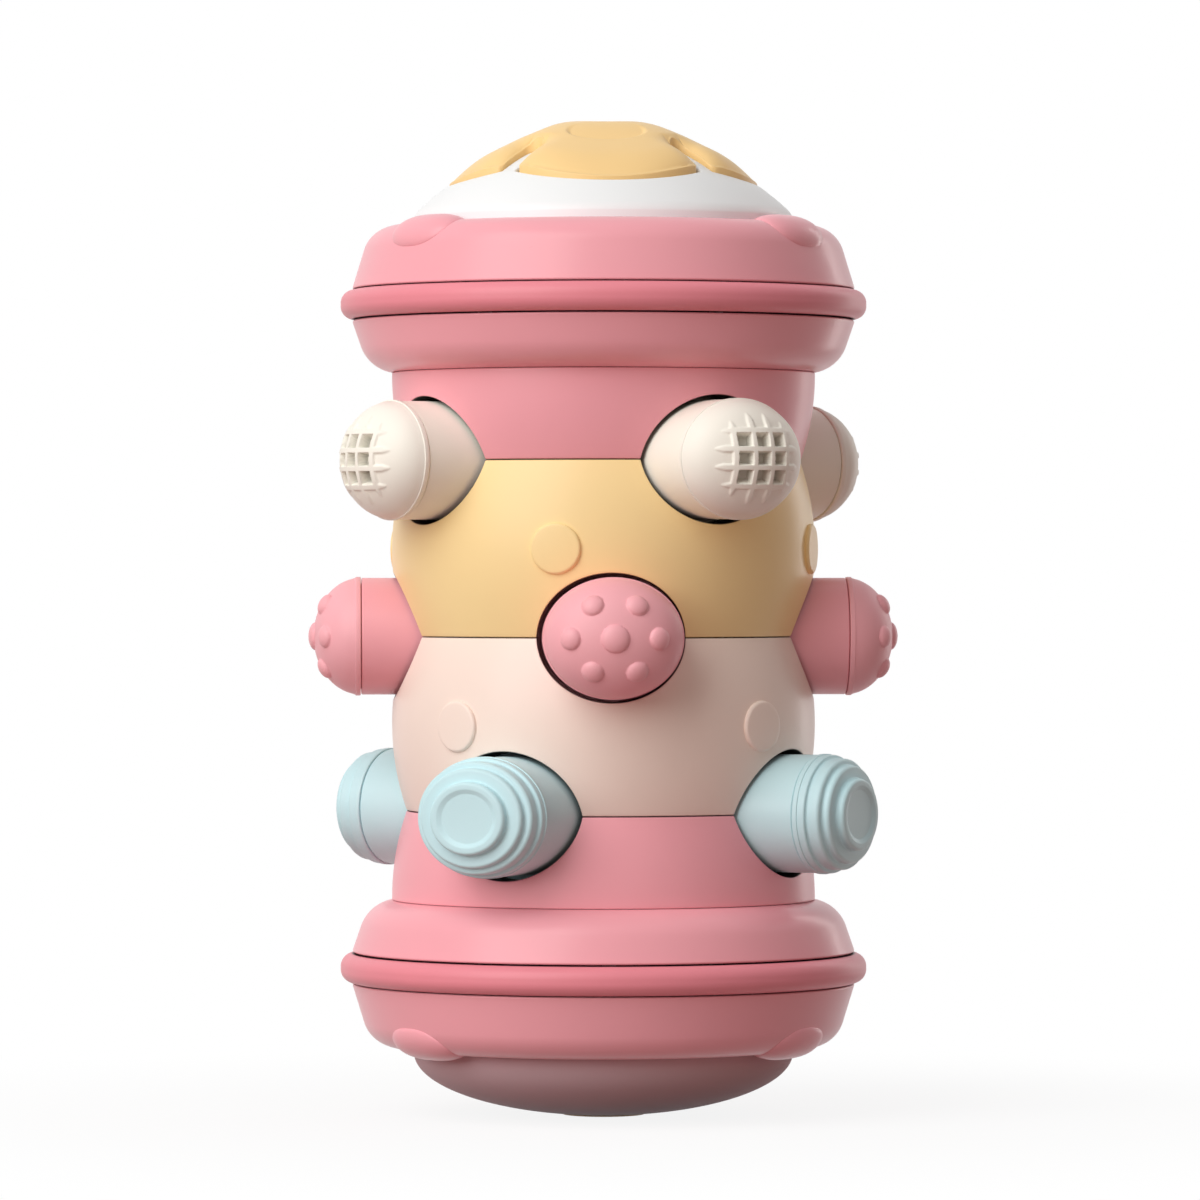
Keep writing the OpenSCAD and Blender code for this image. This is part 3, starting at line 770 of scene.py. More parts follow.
@dataclass
class BarrelBands:
    """Four barrel-shaped bands that meet in fine seams, with half of each peg hole in either band.

    Attributes:
        plan: shared sizes.
        edge: rounding of the edges at seams and holes.
        seam_half: half of the gap that a seam leaves.
        hole_depth: depth of the guide collar behind a hole.
        corner_blend: angle over which a hole's wall turns into a seam's wall, in degrees.
        painted_shade_span: shares of a rounded edge between which the painted shade of its wall fades out.
        side_rows: rows up the side of a band.
        edge_rows: rows on a rounded edge.
        even_columns: columns that are spread evenly.
        hole_columns: columns across a hole.
        border_points: points of a hole's outline from which a border is read.
        dot_r: radius of a raised dot.
        dot_rise: height of a dot.
        dot_edge: rounding of a dot's edge.
        dot_sink: how far a dot is rooted in its band.
        dot_top: shares of a dot's radius between which its top has rows.
        dot_grid: rows on that top and columns round a dot.
    """

    plan: Plan
    edge: float = 0.35
    seam_half: float = 0.04
    hole_depth: float = 9.0
    corner_blend: float = 3.0
    painted_shade_span: Pair = (0.15, 0.75)
    side_rows: int = 40
    edge_rows: int = 5
    even_columns: int = 180
    hole_columns: int = 57
    border_points: int = 721
    dot_r: float = 5.75
    dot_rise: float = 0.9
    dot_edge: float = 0.7
    dot_sink: float = 0.4
    dot_top: Pair = (0.04, 0.8)
    dot_grid: tuple[int, int] = (8, 72)

    def hole_curve(self, grow: float, count: int) -> tuple[Array, Array]:
        """Half of a hole on the barrel.

        u = -a cos t and v = b sin t trace half the oval, and u = R(v) sin(angle) lays it on the barrel.

        Args:
            grow: how much the oval grows all round.
            count: number of points.

        Returns:
            Angle from the middle of the hole, and distance from the seam.
        """
        t = np.linspace(0, np.pi, count)
        u = -(self.plan.peg_w / 2 + self.plan.peg_gap + grow) * np.cos(t)
        v = (self.plan.peg_h / 2 + self.plan.peg_gap + grow) * np.sin(t)
        return np.arcsin(u / self.plan.side_r(self.plan.pitch / 2 - v)), v

    def nearest_hole(self, row: Row, angle: Array) -> tuple[Array, Array]:
        """Finds the nearest hole of a row by rounding to whole steps between pegs.

        Args:
            row: row of the holes.
            angle: angles of the columns.

        Returns:
            Angle from that hole's middle, and the direction of its axis, shape (n, 2).
        """
        turn = self.plan.row_turn(row)
        hole = turn + self.plan.peg_step * np.round((angle - turn) / self.plan.peg_step)
        return angle - hole, np.stack([np.cos(hole), np.sin(hole)], axis=1)

    def columns(self, rows: Sequence[Row]) -> Array:
        """Angles of a band's columns: even ones, and ones that follow the outline of each hole.

        Args:
            rows: rows of holes on the band.

        Returns:
            The angles in rising order.
        """
        marks = [circle(self.even_columns)]
        for row in rows:
            for grow in (0.0, self.edge):
                spread = self.hole_curve(grow, self.hole_columns)[0]
                turns = self.plan.row_turn(row) + self.plan.peg_step * np.arange(self.plan.pegs_in_row)
                marks.append((turns[:, None] + spread).ravel() % FULL_TURN)
        return np.unique(np.round(np.concatenate(marks), ANGLE_DIGITS))

    def border(self, row: Optional[Row], angle: Array, grow: float) -> Array:
        """Distance of a band's border from its seam: the hole where there is one, or else the seam gap.

        Args:
            row: row of holes on this border.
            angle: angles of the columns.
            grow: how much the hole and the gap grow.

        Returns:
            The distances.
        """
        seam = np.full_like(angle, self.seam_half + grow)
        if row is None:
            return seam
        spread, reach = self.hole_curve(grow, self.border_points)
        away = self.nearest_hole(row, angle)[0]
        return np.maximum(seam, np.interp(away, spread, reach, left=0, right=0))

    def inward(self, row: Optional[Row], angle: Array) -> tuple[Array, Array]:
        """Direction and depth of the wall behind a border.

        Along a hole the wall runs along the peg's axis and is as deep as the collar. Along a seam it runs
        towards the roller's axis and is as deep as the moulding. The share of the two changes over a few
        degrees.

        Args:
            row: row of holes on this border.
            angle: angles of the columns.

        Returns:
            Unit directions outward, shape (n, 2), and depths.
        """
        radial = np.stack([np.cos(angle), np.sin(angle)], axis=1)
        if row is None:
            return radial, np.full_like(angle, self.plan.wall)
        away, axis = self.nearest_hole(row, angle)
        half = self.hole_curve(0.0, 3)[0][-1]
        blend = np.radians(self.corner_blend)
        share = np.clip((half + blend - np.abs(away)) / blend, 0, 1)[:, None]
        mixed = axis * share + radial * (1 - share)
        depth = self.plan.wall + share[:, 0] * (self.hole_depth - self.plan.wall)
        return mixed / np.linalg.norm(mixed, axis=1, keepdims=True), depth

    def band(
        self, low_z: float, high_z: float, fullest_z: float, low: Optional[Row], high: Optional[Row]
    ) -> Array:
        """Closed skin of one band.

        Each column runs up the wall behind the lower border, round its edge, up the barrel's arc to the upper
        border and down the wall there. On an edge, the border grows by e (1 - cos a) and the depth is
        e (1 - sin a).

        Args:
            low_z: height of the lower seam.
            high_z: height of the upper seam.
            fullest_z: height at which the band is fullest.
            low: row of holes on the lower seam.
            high: row of holes on the upper seam.

        Returns:
            Grid of points, shape (rows, columns, 3).
        """
        angle = self.columns([row for row in (low, high) if row is not None])

        def ring(z: Array, direction: Array, depth: Array) -> Array:
            """One row of points: the barrel at that height, moved in by a depth.

            Args:
                z: heights of the columns.
                direction: unit directions outward, shape (n, 2).
                depth: how far each column is moved in.

            Returns:
                Points, shape (n, 3).
            """
            radius = self.plan.side_r(z - fullest_z)
            x = radius * np.cos(angle) - depth * direction[:, 0]
            y = radius * np.sin(angle) - depth * direction[:, 1]
            return np.stack([x, y, z], axis=1)

        def edge_rings(seam_z: float, sense: int, row: Optional[Row]) -> list[Array]:
            """Wall and rounded edge of one border, from the inside out.

            Args:
                seam_z: height of the seam.
                sense: 1 where the band lies above the seam, and -1 below it.
                row: row of holes on the seam.

            Returns:
                Rows of points.
            """
            direction, depth = self.inward(row, angle)
            rings = [ring(seam_z + sense * self.border(row, angle, 0.0), direction, depth)]
            for a in quarter_turn(self.edge_rows):
                grow = self.edge * (1 - np.cos(a))
                sunk = np.full_like(angle, self.edge * (1 - np.sin(a)))
                rings.append(ring(seam_z + sense * self.border(row, angle, grow), direction, sunk))
            return rings

        low_rings = edge_rings(low_z, 1, low)
        high_rings = edge_rings(high_z, -1, high)
        share = np.linspace(0, 1, self.side_rows)[1:-1, None]
        z = low_rings[-1][:, 2] * (1 - share) + high_rings[-1][:, 2] * share
        flat = np.zeros_like(angle)
        side = [ring(level, np.zeros((len(angle), 2)), flat) for level in z]
        return np.stack(low_rings + side + high_rings[::-1])

    def band_painted_shade(self) -> Array:
        """Painted shade of a band's rows: black on the walls of seams and holes, plain on the side.

        Returns:
            Painted shade from 0 to 1, shape (rows, 1).
        """
        wall = np.append(1.0, 1 - smooth_step(*self.painted_shade_span, np.linspace(0, 1, self.edge_rows)))
        return np.concatenate([wall, np.zeros(self.side_rows - 2), wall[::-1]])[:, None]

    def dot(self, turn: float, fullest_z: float) -> Array:
        """Low round pad on a band.

        A profile of (distance from the middle, height) with a rounded edge is carried round the dot's middle:
        the distance is laid out along the barrel's surface and the height is added to its radius.

        Args:
            turn: angle of the dot's middle, in radians.
            fullest_z: height of the dot's middle.

        Returns:
            Grid of points, shape (rows, columns, 3).
        """
        outline = [(0.0, self.dot_rise, 0.0), (self.dot_r, self.dot_rise, self.dot_edge)]
        outline += [(self.dot_r, -self.dot_sink, 0.0), (0.0, -self.dot_sink, 0.0)]
        profile = rounded(outline, steps=9, closed=False)
        steps = np.linspace(*self.dot_top, self.dot_grid[0]) * self.dot_r
        top = np.stack([steps, np.full_like(steps, self.dot_rise)], axis=1)
        profile = np.concatenate([profile[:1], top, profile[1:]])
        around = circle(self.dot_grid[1])
        u = profile[:, :1] * np.cos(around)
        v = profile[:, :1] * np.sin(around)
        return polar(self.plan.side_r(v) + profile[:, 1:], turn + u / self.plan.band_r, fullest_z + v)

    def build(self, shop: Workshop) -> None:
        """Makes the four bands, and four dots on each of the two full ones.

        Args:
            shop: maker of the pieces.
        """
        plan = self.plan
        lean = np.radians(plan.row_twist / 2)
        # Painted shade on the walls of the seams and holes.
        painted_shade = self.band_painted_shade()
        bands = (
            ("top_pink", SHELL_PINK, "shell_pink", Row.CREAM, None),
            ("yellow", BAND_YELLOW, "band_yellow", Row.PINK, Row.CREAM),
            ("blush", BAND_BLUSH, "band_blush", Row.BLUE, Row.PINK),
            ("bottom_pink", SHELL_PINK, "shell_pink", None, Row.BLUE),
        )
        for word, finish, slot, low, high in bands:
            low_z = plan.mid_z - plan.end_z if low is None else plan.row_z(low)
            high_z = plan.mid_z + plan.end_z if high is None else plan.row_z(high)
            fullest_z = high_z - plan.pitch / 2 if low is None else low_z + plan.pitch / 2
            skin = Skin().add(self.band(low_z, high_z, fullest_z, low, high), painted_shade=painted_shade)
            if low is not None and high is not None:
                for k in range(plan.pegs_in_row):
                    skin.add(self.dot(plan.row_turn(low) - lean + k * plan.peg_step, fullest_z), False)
            shop.piece(f"{word}_band", skin, finish, [f"band_{word}"])


@dataclass
class EndRims:
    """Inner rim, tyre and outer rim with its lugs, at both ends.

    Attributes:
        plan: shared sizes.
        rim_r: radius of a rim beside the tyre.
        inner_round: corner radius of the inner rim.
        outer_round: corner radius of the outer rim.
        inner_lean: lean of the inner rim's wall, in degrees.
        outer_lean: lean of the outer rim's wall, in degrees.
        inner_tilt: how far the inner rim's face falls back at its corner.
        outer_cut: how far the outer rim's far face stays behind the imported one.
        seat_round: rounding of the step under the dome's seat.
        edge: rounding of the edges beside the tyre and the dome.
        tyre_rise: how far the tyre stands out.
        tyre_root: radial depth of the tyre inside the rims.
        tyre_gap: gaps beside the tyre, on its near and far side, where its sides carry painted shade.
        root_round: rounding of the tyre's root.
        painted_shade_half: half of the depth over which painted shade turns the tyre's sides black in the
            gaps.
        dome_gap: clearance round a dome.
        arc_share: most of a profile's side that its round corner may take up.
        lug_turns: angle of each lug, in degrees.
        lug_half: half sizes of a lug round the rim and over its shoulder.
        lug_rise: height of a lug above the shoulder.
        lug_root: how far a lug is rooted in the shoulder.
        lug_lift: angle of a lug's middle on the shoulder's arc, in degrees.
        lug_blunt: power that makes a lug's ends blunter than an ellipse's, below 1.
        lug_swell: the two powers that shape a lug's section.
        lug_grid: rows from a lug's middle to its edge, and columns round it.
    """

    plan: Plan
    rim_r: float = 57.8
    inner_round: float = 9.0
    outer_round: float = 7.8
    inner_lean: float = 19.0
    outer_lean: float = 17.0
    inner_tilt: float = 0.9
    outer_cut: float = 1.5
    seat_round: float = 2.0
    edge: float = 0.45
    tyre_rise: float = 2.6
    tyre_root: float = 3.4
    tyre_gap: Pair = (0.3, 0.2)
    root_round: float = 0.2
    painted_shade_half: float = 0.3
    dome_gap: float = 0.3
    arc_share: float = 0.93
    lug_turns: tuple[float, ...] = (-35.0, 90.0, 215.0)
    lug_half: Pair = (8.6, 8.0)
    lug_rise: float = 1.5
    lug_root: float = 1.0
    lug_lift: float = 72.0
    lug_blunt: float = 0.85
    lug_swell: Pair = (3.0, 0.75)
    lug_grid: tuple[int, int] = (30, 96)

    def inner_profile(self) -> Array:
        """Section of the inner rim: a leaning wall, a round corner and a face that meets the band.

        Returns:
            Points of (radius, height from the middle seam), shape (n, 2).
        """
        plan = self.plan
        lean = np.tan(np.radians(self.inner_lean))
        corner_r = self.rim_r - (plan.inner_rim_h - self.inner_tilt) * lean
        inside = plan.band_r - 2 * plan.wall
        slope = self.inner_tilt / (corner_r - plan.band_r)
        corners = [
            (self.rim_r, plan.tyre_z, self.edge),
            (corner_r, plan.end_z + self.inner_tilt, self.inner_round),
            (inside, plan.end_z - slope * (plan.band_r - inside), plan.hidden_round),
            (inside, plan.end_z + plan.wall, plan.hidden_round),
            (corner_r - plan.wall, plan.end_z + plan.wall, self.inner_round - plan.wall),
            (self.rim_r - plan.wall, plan.tyre_z, plan.hidden_round),
        ]
        return rounded(corners, steps=16, share=self.arc_share)

    def outer_profile(self) -> Array:
        """Section of the outer rim: a leaning wall, a round shoulder and the seat of the dome.

        Returns:
            Points of (radius, height from the middle seam), shape (n, 2).
        """
        plan = self.plan
        lean = np.tan(np.radians(self.outer_lean))
        corner_r = self.rim_r - (plan.outer_rim_h - self.outer_cut) * lean
        seat_r = plan.dome_r + self.dome_gap
        face_z = plan.rim_top_z - self.outer_cut
        seat_z = plan.rim_top_z - plan.skirt_h
        corners = [
            (self.rim_r, plan.outer_z, self.edge),
            (corner_r, face_z, self.outer_round),
            (seat_r, face_z, self.edge),
            (seat_r, seat_z, plan.hidden_round),
            (self.rim_r - 3 * plan.wall, seat_z, self.seat_round),
            (self.rim_r - plan.wall, plan.outer_z, plan.hidden_round),
        ]
        return rounded(corners, steps=20, share=self.arc_share)

    def tyre_profile(self) -> Array:
        """Section of the tyre: a half-round tread on a square root.

        Returns:
            Points of (radius, height from the middle seam), shape (n, 2).
        """
        near = self.plan.tyre_z + self.tyre_gap[0]
        far = self.plan.outer_z - self.tyre_gap[1]
        tread = (far - near) / 2
        inside = self.rim_r - self.tyre_root
        outside = self.rim_r + self.tyre_rise
        corners = [
            (inside, near, self.root_round),
            (outside, near, tread),
            (outside, far, tread),
            (inside, far, self.root_round),
        ]
        return rounded(corners, steps=18)

    def lug(self, turn: float, end: End) -> Array:
        """Blunt oval bump that wraps the shoulder of the outer rim.

        The shoulder is an arc of radius R, whose centre lies at the rim's radius less
        (R + d sin(lean)) / cos(lean), with d the height of that centre. On an oval with share q of its size,
        the bump stands out by rise * (1 - q^a)^b, with a and b its two powers, and is bent round the shoulder
        and round the axis. It is closed underneath.

        Args:
            turn: angle of the lug round the axis, in radians.
            end: end of the roller.

        Returns:
            Grid of points, shape (rows, columns, 3).
        """
        plan = self.plan
        lean = np.radians(self.outer_lean)
        above = plan.outer_rim_h - self.outer_cut - self.outer_round
        centre_r = self.rim_r - (self.outer_round + above * np.sin(lean)) / np.cos(lean)
        share = np.sin(quarter_turn(self.lug_grid[0]))
        out = self.lug_rise * (1 - share ** self.lug_swell[0]) ** self.lug_swell[1]
        share = np.append(share, [1.0, 0.0])[:, None]
        out = np.append(out, [-self.lug_root, -self.lug_root])[:, None]
        around = circle(self.lug_grid[1])
        ways = np.cos(around), np.sin(around)
        wide, high = (np.sign(way) * np.abs(way) ** self.lug_blunt for way in ways)
        bend = np.radians(self.lug_lift) + self.lug_half[1] * share * high / self.outer_round
        radius = centre_r + (self.outer_round + out) * np.cos(bend)
        height = plan.outer_z + above + (self.outer_round + out) * np.sin(bend)
        angle = turn + self.lug_half[0] * share * wide / plan.dome_r
        return polar(radius, angle, plan.mid_z + end.value * height)

    def build(self, shop: Workshop) -> None:
        """Makes the rims and tyres of both ends.

        Args:
            shop: maker of the pieces.
        """
        tyre = self.tyre_profile()
        # Painted shade: the tyre's sides turn black below the rims' radius, inside the gaps.
        painted_shade = smooth_step(self.rim_r + self.painted_shade_half, self.rim_r - self.painted_shade_half, tyre[:, :1])
        for end in End:
            word = end.word
            skin = Skin().add(lathe(self.plan.at_end(self.inner_profile(), end)))
            shop.piece(f"{word}_inner_rim", skin, RIM_PINK, [f"inner_rim_{word}"])

            skin = Skin().add(lathe(self.plan.at_end(tyre, end)), painted_shade=painted_shade)
            shop.piece(f"{word}_tyre", skin, TYRE_PINK, [f"tyre_{word}"])

            skin = Skin().add(lathe(self.plan.at_end(self.outer_profile(), end)))
            for turn in self.lug_turns:
                skin.add(self.lug(np.radians(turn), end), False)
            shop.piece(f"{word}_outer_rim", skin, RIM_PINK, [f"outer_rim_{word}"])


@dataclass
class FlowerEnd:
    """White upper dome with a flower-shaped opening, and the flower button in it.

    Attributes:
        plan: shared sizes.
        dome_rise: height of the dome above its rim.
        dome_ball_r: radius of the sphere that the dome is part of.
        dome_edge: width and height of the round edge above the skirt.
        opening_edge: rounding of the edge of the opening.
        petals: number of petals.
        flower_r: radius over the petal tips.
        petal_centre_r: distance of a petal's centre from the axis.
        flower_rise: height of the flower above the dome, at its middle.
        petal_edge: height of the petal tips above the dome.
        petal_clear: least height of a petal above the dome.
        slot_w: width of a slot between petals.
        slot_root_r: distance of a slot's root from the axis.
        slot_ease: how far before and after that root the petals' sides start to come down.
        gap: clearance of the flower in the dome.
        dish_r: radius of the finger dish.
        dish_depth: depth of the dish.
        dish_soft: softness of the dish's edge.
        lip_w: width of the low lip round the dish.
        lip_top: share of that width after which the lip falls.
        lip_rise: height of that lip.
        scoop_r: distance of the middle of a petal's scoop from the axis.
        scoop_half: half sizes of a scoop along its petal and across it.
        scoop_depth: depth of a scoop.
        scoop_wall: share of a scoop at which its wall starts.
        scoop_ramp: half of the length over which its floor falls, as a share of its half length.
        crown_power: power that makes the flower's crown squarer than a sphere, above 2.
        crown_dip: how far the crown is slimmed in a ring round the axis.
        dip_place: place of that ring, as a share of the flower's radius.
        dip_width: width of that ring.
        flanks: widths over which a petal comes down to the dome, at its sides and at its outer edge.
        edge: rounding of the petals' upper edge.
        corner: rounding of a petal's corners, seen from above.
        arc_start: share of the arc from a corner to the petal's tip that the corner takes up.
        outline_rows: points on the root of a slot and on that arc, for half a petal.
        skirt_drop: depth of the flower's side below the dome.
        fan_r: radius of the circle from which the flower's columns fan out.
        fan_rows: rows inside that circle and outside it.
        edge_rows: rows on the petals' upper edge.
        opening_rows: rows on the edge of the dome's opening.
        dome_rows: rows from there to the dome's edge.
        columns: columns round the flower and the dome.
        finger_over: how far a finger of the dome reaches past the petals.
        finger_shares: rows of a finger's top, as shares of the way to its outline.
        finger_drops: how far each of those rows is rounded down.
        finger_sink: how far a finger lies below the dome.
        finger_columns: columns round a finger.
    """

    plan: Plan
    dome_rise: float = 19.0
    dome_ball_r: float = 62.0
    dome_edge: Pair = (1.4, 0.9)
    opening_edge: float = 0.4
    petals: int = 4
    flower_r: float = 35.4
    petal_centre_r: float = 11.0
    flower_rise: float = 4.2
    petal_edge: float = 0.3
    petal_clear: float = 0.15
    slot_w: float = 5.0
    slot_root_r: float = 24.0
    slot_ease: Pair = (4.0, 1.0)
    gap: float = 0.5
    dish_r: float = 9.0
    dish_depth: float = 1.0
    dish_soft: float = 0.45
    lip_w: float = 2.2
    lip_top: float = 0.6
    lip_rise: float = 0.1
    scoop_r: float = 15.8
    scoop_half: Pair = (6.0, 9.4)
    scoop_depth: float = 1.2
    scoop_wall: float = 0.86
    scoop_ramp: float = 0.9
    crown_power: float = 3.0
    crown_dip: float = 0.8
    dip_place: float = 0.62
    dip_width: float = 7.0
    flanks: Pair = (5.5, 7.0)
    edge: float = 0.4
    corner: float = 1.6
    arc_start: float = 0.16
    outline_rows: tuple[int, int] = (8, 28)
    skirt_drop: float = 3.0
    fan_r: float = 13.0
    fan_rows: tuple[int, int] = (40, 60)
    edge_rows: int = 7
    opening_rows: int = 5
    dome_rows: int = 48
    columns: int = 720
    finger_over: float = 1.5
    finger_shares: tuple[float, ...] = (0.0, 0.5, 0.82, 0.95, 1.0)
    finger_drops: tuple[float, ...] = (0.0, 0.0, 0.05, 0.2, 0.5)
    finger_sink: float = 0.03
    finger_columns: int = 160

    @property
    def sector(self) -> float:
        """Angle from one petal to the next, in radians."""
        return FULL_TURN / self.petals

    @property
    def petal_turns(self) -> Array:
        """Angles of the petals, in radians."""
        return FRONT + self.sector * np.arange(self.petals)

    def dome_z(self, radius: Array, inset: float = 0.0) -> Array:
        """Height of the dome above the middle seam: its sphere's centre + sqrt((R - inset)^2 - radius^2)."""
        centre = self.plan.rim_top_z + self.dome_rise - self.dome_ball_r
        return centre + np.sqrt((self.dome_ball_r - inset) ** 2 - radius**2)

    def flower_z(self, flat: Array) -> Array:
        """Height of the flower above the middle seam.

        On the nearest petal, s is the place along it and t the place across it. The crown is a sphere over
        (s^p + t^p)^(1/p), slimmed in a ring, and raised by a low lip with a soft dish inside it. A petal
        comes down to the dome like a cushion, by sqrt(1 - (1 - d / width)^2) of the distance d from its side
        or its outer edge. Its scoop is a soft step on
        sqrt(((s - middle) / half length)^2 + (t / half width)^2), times a ramp that makes it deepest at its
        outer edge.

        Args:
            flat: places seen from above, shape (..., 2).

        Returns:
            Heights, shape (...).
        """
        radius = np.linalg.norm(flat, axis=-1)
        ahead, aside = turned(flat[..., :1], flat[..., 1:], -self.petal_turns)
        nearest = ahead.argmax(axis=-1)[..., None]
        along = np.take_along_axis(ahead, nearest, axis=-1)[..., 0]
        across = np.abs(np.take_along_axis(aside, nearest, axis=-1)[..., 0])
        squarish = (along**self.crown_power + across**self.crown_power) ** (1 / self.crown_power)

        top = self.plan.rim_top_z + self.dome_rise + self.flower_rise
        drop = top - self.dome_z(np.array(self.flower_r)) - self.petal_edge
        ball = (self.flower_r**2 + drop**2) / (2 * drop)
        ring = (squarish - self.dip_place * self.flower_r) / self.dip_width
        crown = top - ball + np.sqrt(ball**2 - squarish**2) - self.crown_dip * np.exp(-(ring**2))
        lip_fall = smooth_step(self.dish_r + self.lip_top * self.lip_w, self.dish_r + self.lip_w, radius)
        lip = self.lip_rise * (1 - lip_fall)
        bottom = top - ball + np.sqrt(ball**2 - self.dish_r**2) + self.lip_rise - self.dish_depth
        dish = bottom + self.dish_depth * (radius / self.dish_r) ** 2
        soft = self.dish_soft
        plain = -soft * np.logaddexp(-(crown + lip) / soft, -dish / soft)

        half = self.sector / 2
        side = along * np.sin(half) - across * np.cos(half) - self.slot_w / 2
        outer = self.flower_r - self.petal_centre_r - np.hypot(along - self.petal_centre_r, across)
        side_up = np.sqrt(1 - (1 - (side / self.flanks[0]).clip(0, 1)) ** 2)
        outer_up = np.sqrt(1 - (1 - (outer / self.flanks[1]).clip(0, 1)) ** 2)
        deep = smooth_step(self.slot_root_r - self.slot_ease[0], self.slot_root_r + self.slot_ease[1], radius)
        room = (crown - self.dome_z(radius) - self.petal_clear).clip(0, None)
        sink = room * (1 - (1 - deep * (1 - side_up)) * outer_up)
        place = (along - self.scoop_r) / self.scoop_half[0]
        oval = np.hypot(place, across / self.scoop_half[1])
        ramp = smooth_step(-self.scoop_ramp, self.scoop_ramp, place)
        scoop = (1 - smooth_step(self.scoop_wall, 1.0, oval)) * ramp
        return plain - sink - self.scoop_depth * scoop

    def outline(self) -> Array:
        """Outline of the flower, seen from above.

        Half a petal runs from the root of a slot, along the slot's side, round a corner and along the petal's
        disc to its tip. It is mirrored, repeated for each petal and spread evenly.

        Returns:
            Points of the closed outline, shape (columns, 2), from the middle of a slot.
        """
        half = self.slot_w / 2
        disc = self.flower_r - self.petal_centre_r
        cx = self.petal_centre_r * np.cos(self.sector / 2)
        cy = self.petal_centre_r * np.sin(self.sector / 2)
        mouth = cx + np.sqrt(disc**2 - (half - cy) ** 2)
        root = np.radians(np.linspace(180, 90, self.outline_rows[0]))
        line = [(self.slot_root_r + half * np.cos(a), half * np.sin(a), 0.0) for a in root]
        line.append((mouth, half, self.corner))
        start = np.arctan2(half - cy, mouth - cx)
        arc = start + (self.sector / 2 - start) * np.linspace(self.arc_start, 1, self.outline_rows[1])
        line += [(cx + disc * np.cos(a), cy + disc * np.sin(a), 0.0) for a in arc]
        way = rounded(line, closed=False)
        way = np.stack(turned(way[:, 0], way[:, 1], -self.sector / 2), axis=1)
        petal = np.concatenate([way, (way * [1, -1])[-2::-1]])
        petal = evenly(petal, self.columns // self.petals)
        x, y = turned(petal[:, 0], petal[:, 1], self.petal_turns[:, None])
        return np.stack([x.ravel(), y.ravel()], axis=1)

    def flower(self) -> Array:
        """Closed skin of the flower button.

        Columns fan out from a small circle to the outline, and the height is the flower's at each point. The
        outline then rounds over, goes down the side and comes back underneath.

        Returns:
            Grid of points, shape (rows, columns, 3).
        """
        line = self.outline()
        ahead = np.roll(line, -1, axis=0) - np.roll(line, 1, axis=0)
        out = np.stack([ahead[:, 1], -ahead[:, 0]], axis=1) / np.linalg.norm(ahead, axis=1, keepdims=True)
        angle = FRONT - self.sector / 2 + circle(self.columns)
        fan = self.fan_r * np.stack([np.cos(angle), np.sin(angle)], axis=1)
        rim = line - self.edge * out
        inside = np.linspace(0, 1, self.fan_rows[0])[:, None, None]
        outside = np.linspace(0, 1, self.fan_rows[1])[1:, None, None]
        top = np.concatenate([inside * fan, fan * (1 - outside) + rim * outside])
        top_z = self.flower_z(top)
        bend = quarter_turn(self.edge_rows)[1:, None]
        edge = line - self.edge * (1 - np.sin(bend))[:, :, None] * out
        edge_z = top_z[-1] - self.edge * (1 - np.cos(bend))
        foot_z = self.dome_z(np.linalg.norm(line, axis=1)) - self.skirt_drop
        low_z = np.full(self.columns, foot_z.min())
        flat = np.concatenate([top, edge, np.stack([line, fan, 0 * fan])])
        height = self.plan.mid_z + np.concatenate([top_z, edge_z, np.stack([foot_z, low_z, low_z])])
        return np.concatenate([flat, height[:, :, None]], axis=2)

    def lobes(self, angle: Array) -> Array:
        """Distance from the axis to the far side of the nearest petal's disc, grown by the gap.

        With a the angle from the petal, c the distance of its centre and r the radius of its disc, that is
        c cos a + sqrt(r^2 - (c sin a)^2).

        Args:
            angle: angles of the columns.

        Returns:
            The distances.
        """
        away = (angle - FRONT + self.sector / 2) % self.sector - self.sector / 2
        disc = self.flower_r - self.petal_centre_r + self.gap
        side = self.petal_centre_r * np.sin(away)
        return self.petal_centre_r * np.cos(away) + np.sqrt(disc**2 - side**2)

    def dome(self) -> Array:
        """Closed skin of the dome.

        It goes from the lobed opening out over the sphere, down the skirt and back inside.

        Returns:
            Grid of points, shape (rows, columns, 3).
        """
        plan = self.plan
        angle = circle(self.columns)
        opening = self.lobes(angle)
        bend = quarter_turn(self.opening_rows)[:, None]
        lip_r = opening + self.opening_edge * (1 - np.cos(bend))
        lip_z = self.dome_z(lip_r) - self.opening_edge * (1 - np.sin(bend))
        share = np.sin(quarter_turn(self.dome_rows))[1:, None]
        side_r = (opening + self.opening_edge) * (1 - share) + plan.dome_r * share
        late = ((side_r - plan.dome_r) / self.dome_edge[0] + 1).clip(0, 1)
        side_z = self.dome_z(side_r) - self.dome_edge[1] * (1 - np.sqrt(1 - late**2))
        full = np.ones((1, self.columns))
        outer_r = plan.dome_r * full
        inner_r = outer_r - plan.wall
        foot_z = (plan.rim_top_z - plan.skirt_h) * full
        under_z = self.dome_z(inner_r, plan.wall)
        low_z = self.dome_z(opening, plan.wall)[None]
        radius = np.concatenate([lip_r, side_r, outer_r, inner_r, inner_r, opening[None]])
        height = np.concatenate([lip_z, side_z, foot_z, foot_z, under_z, low_z])
        return polar(radius, angle, plan.mid_z + height)

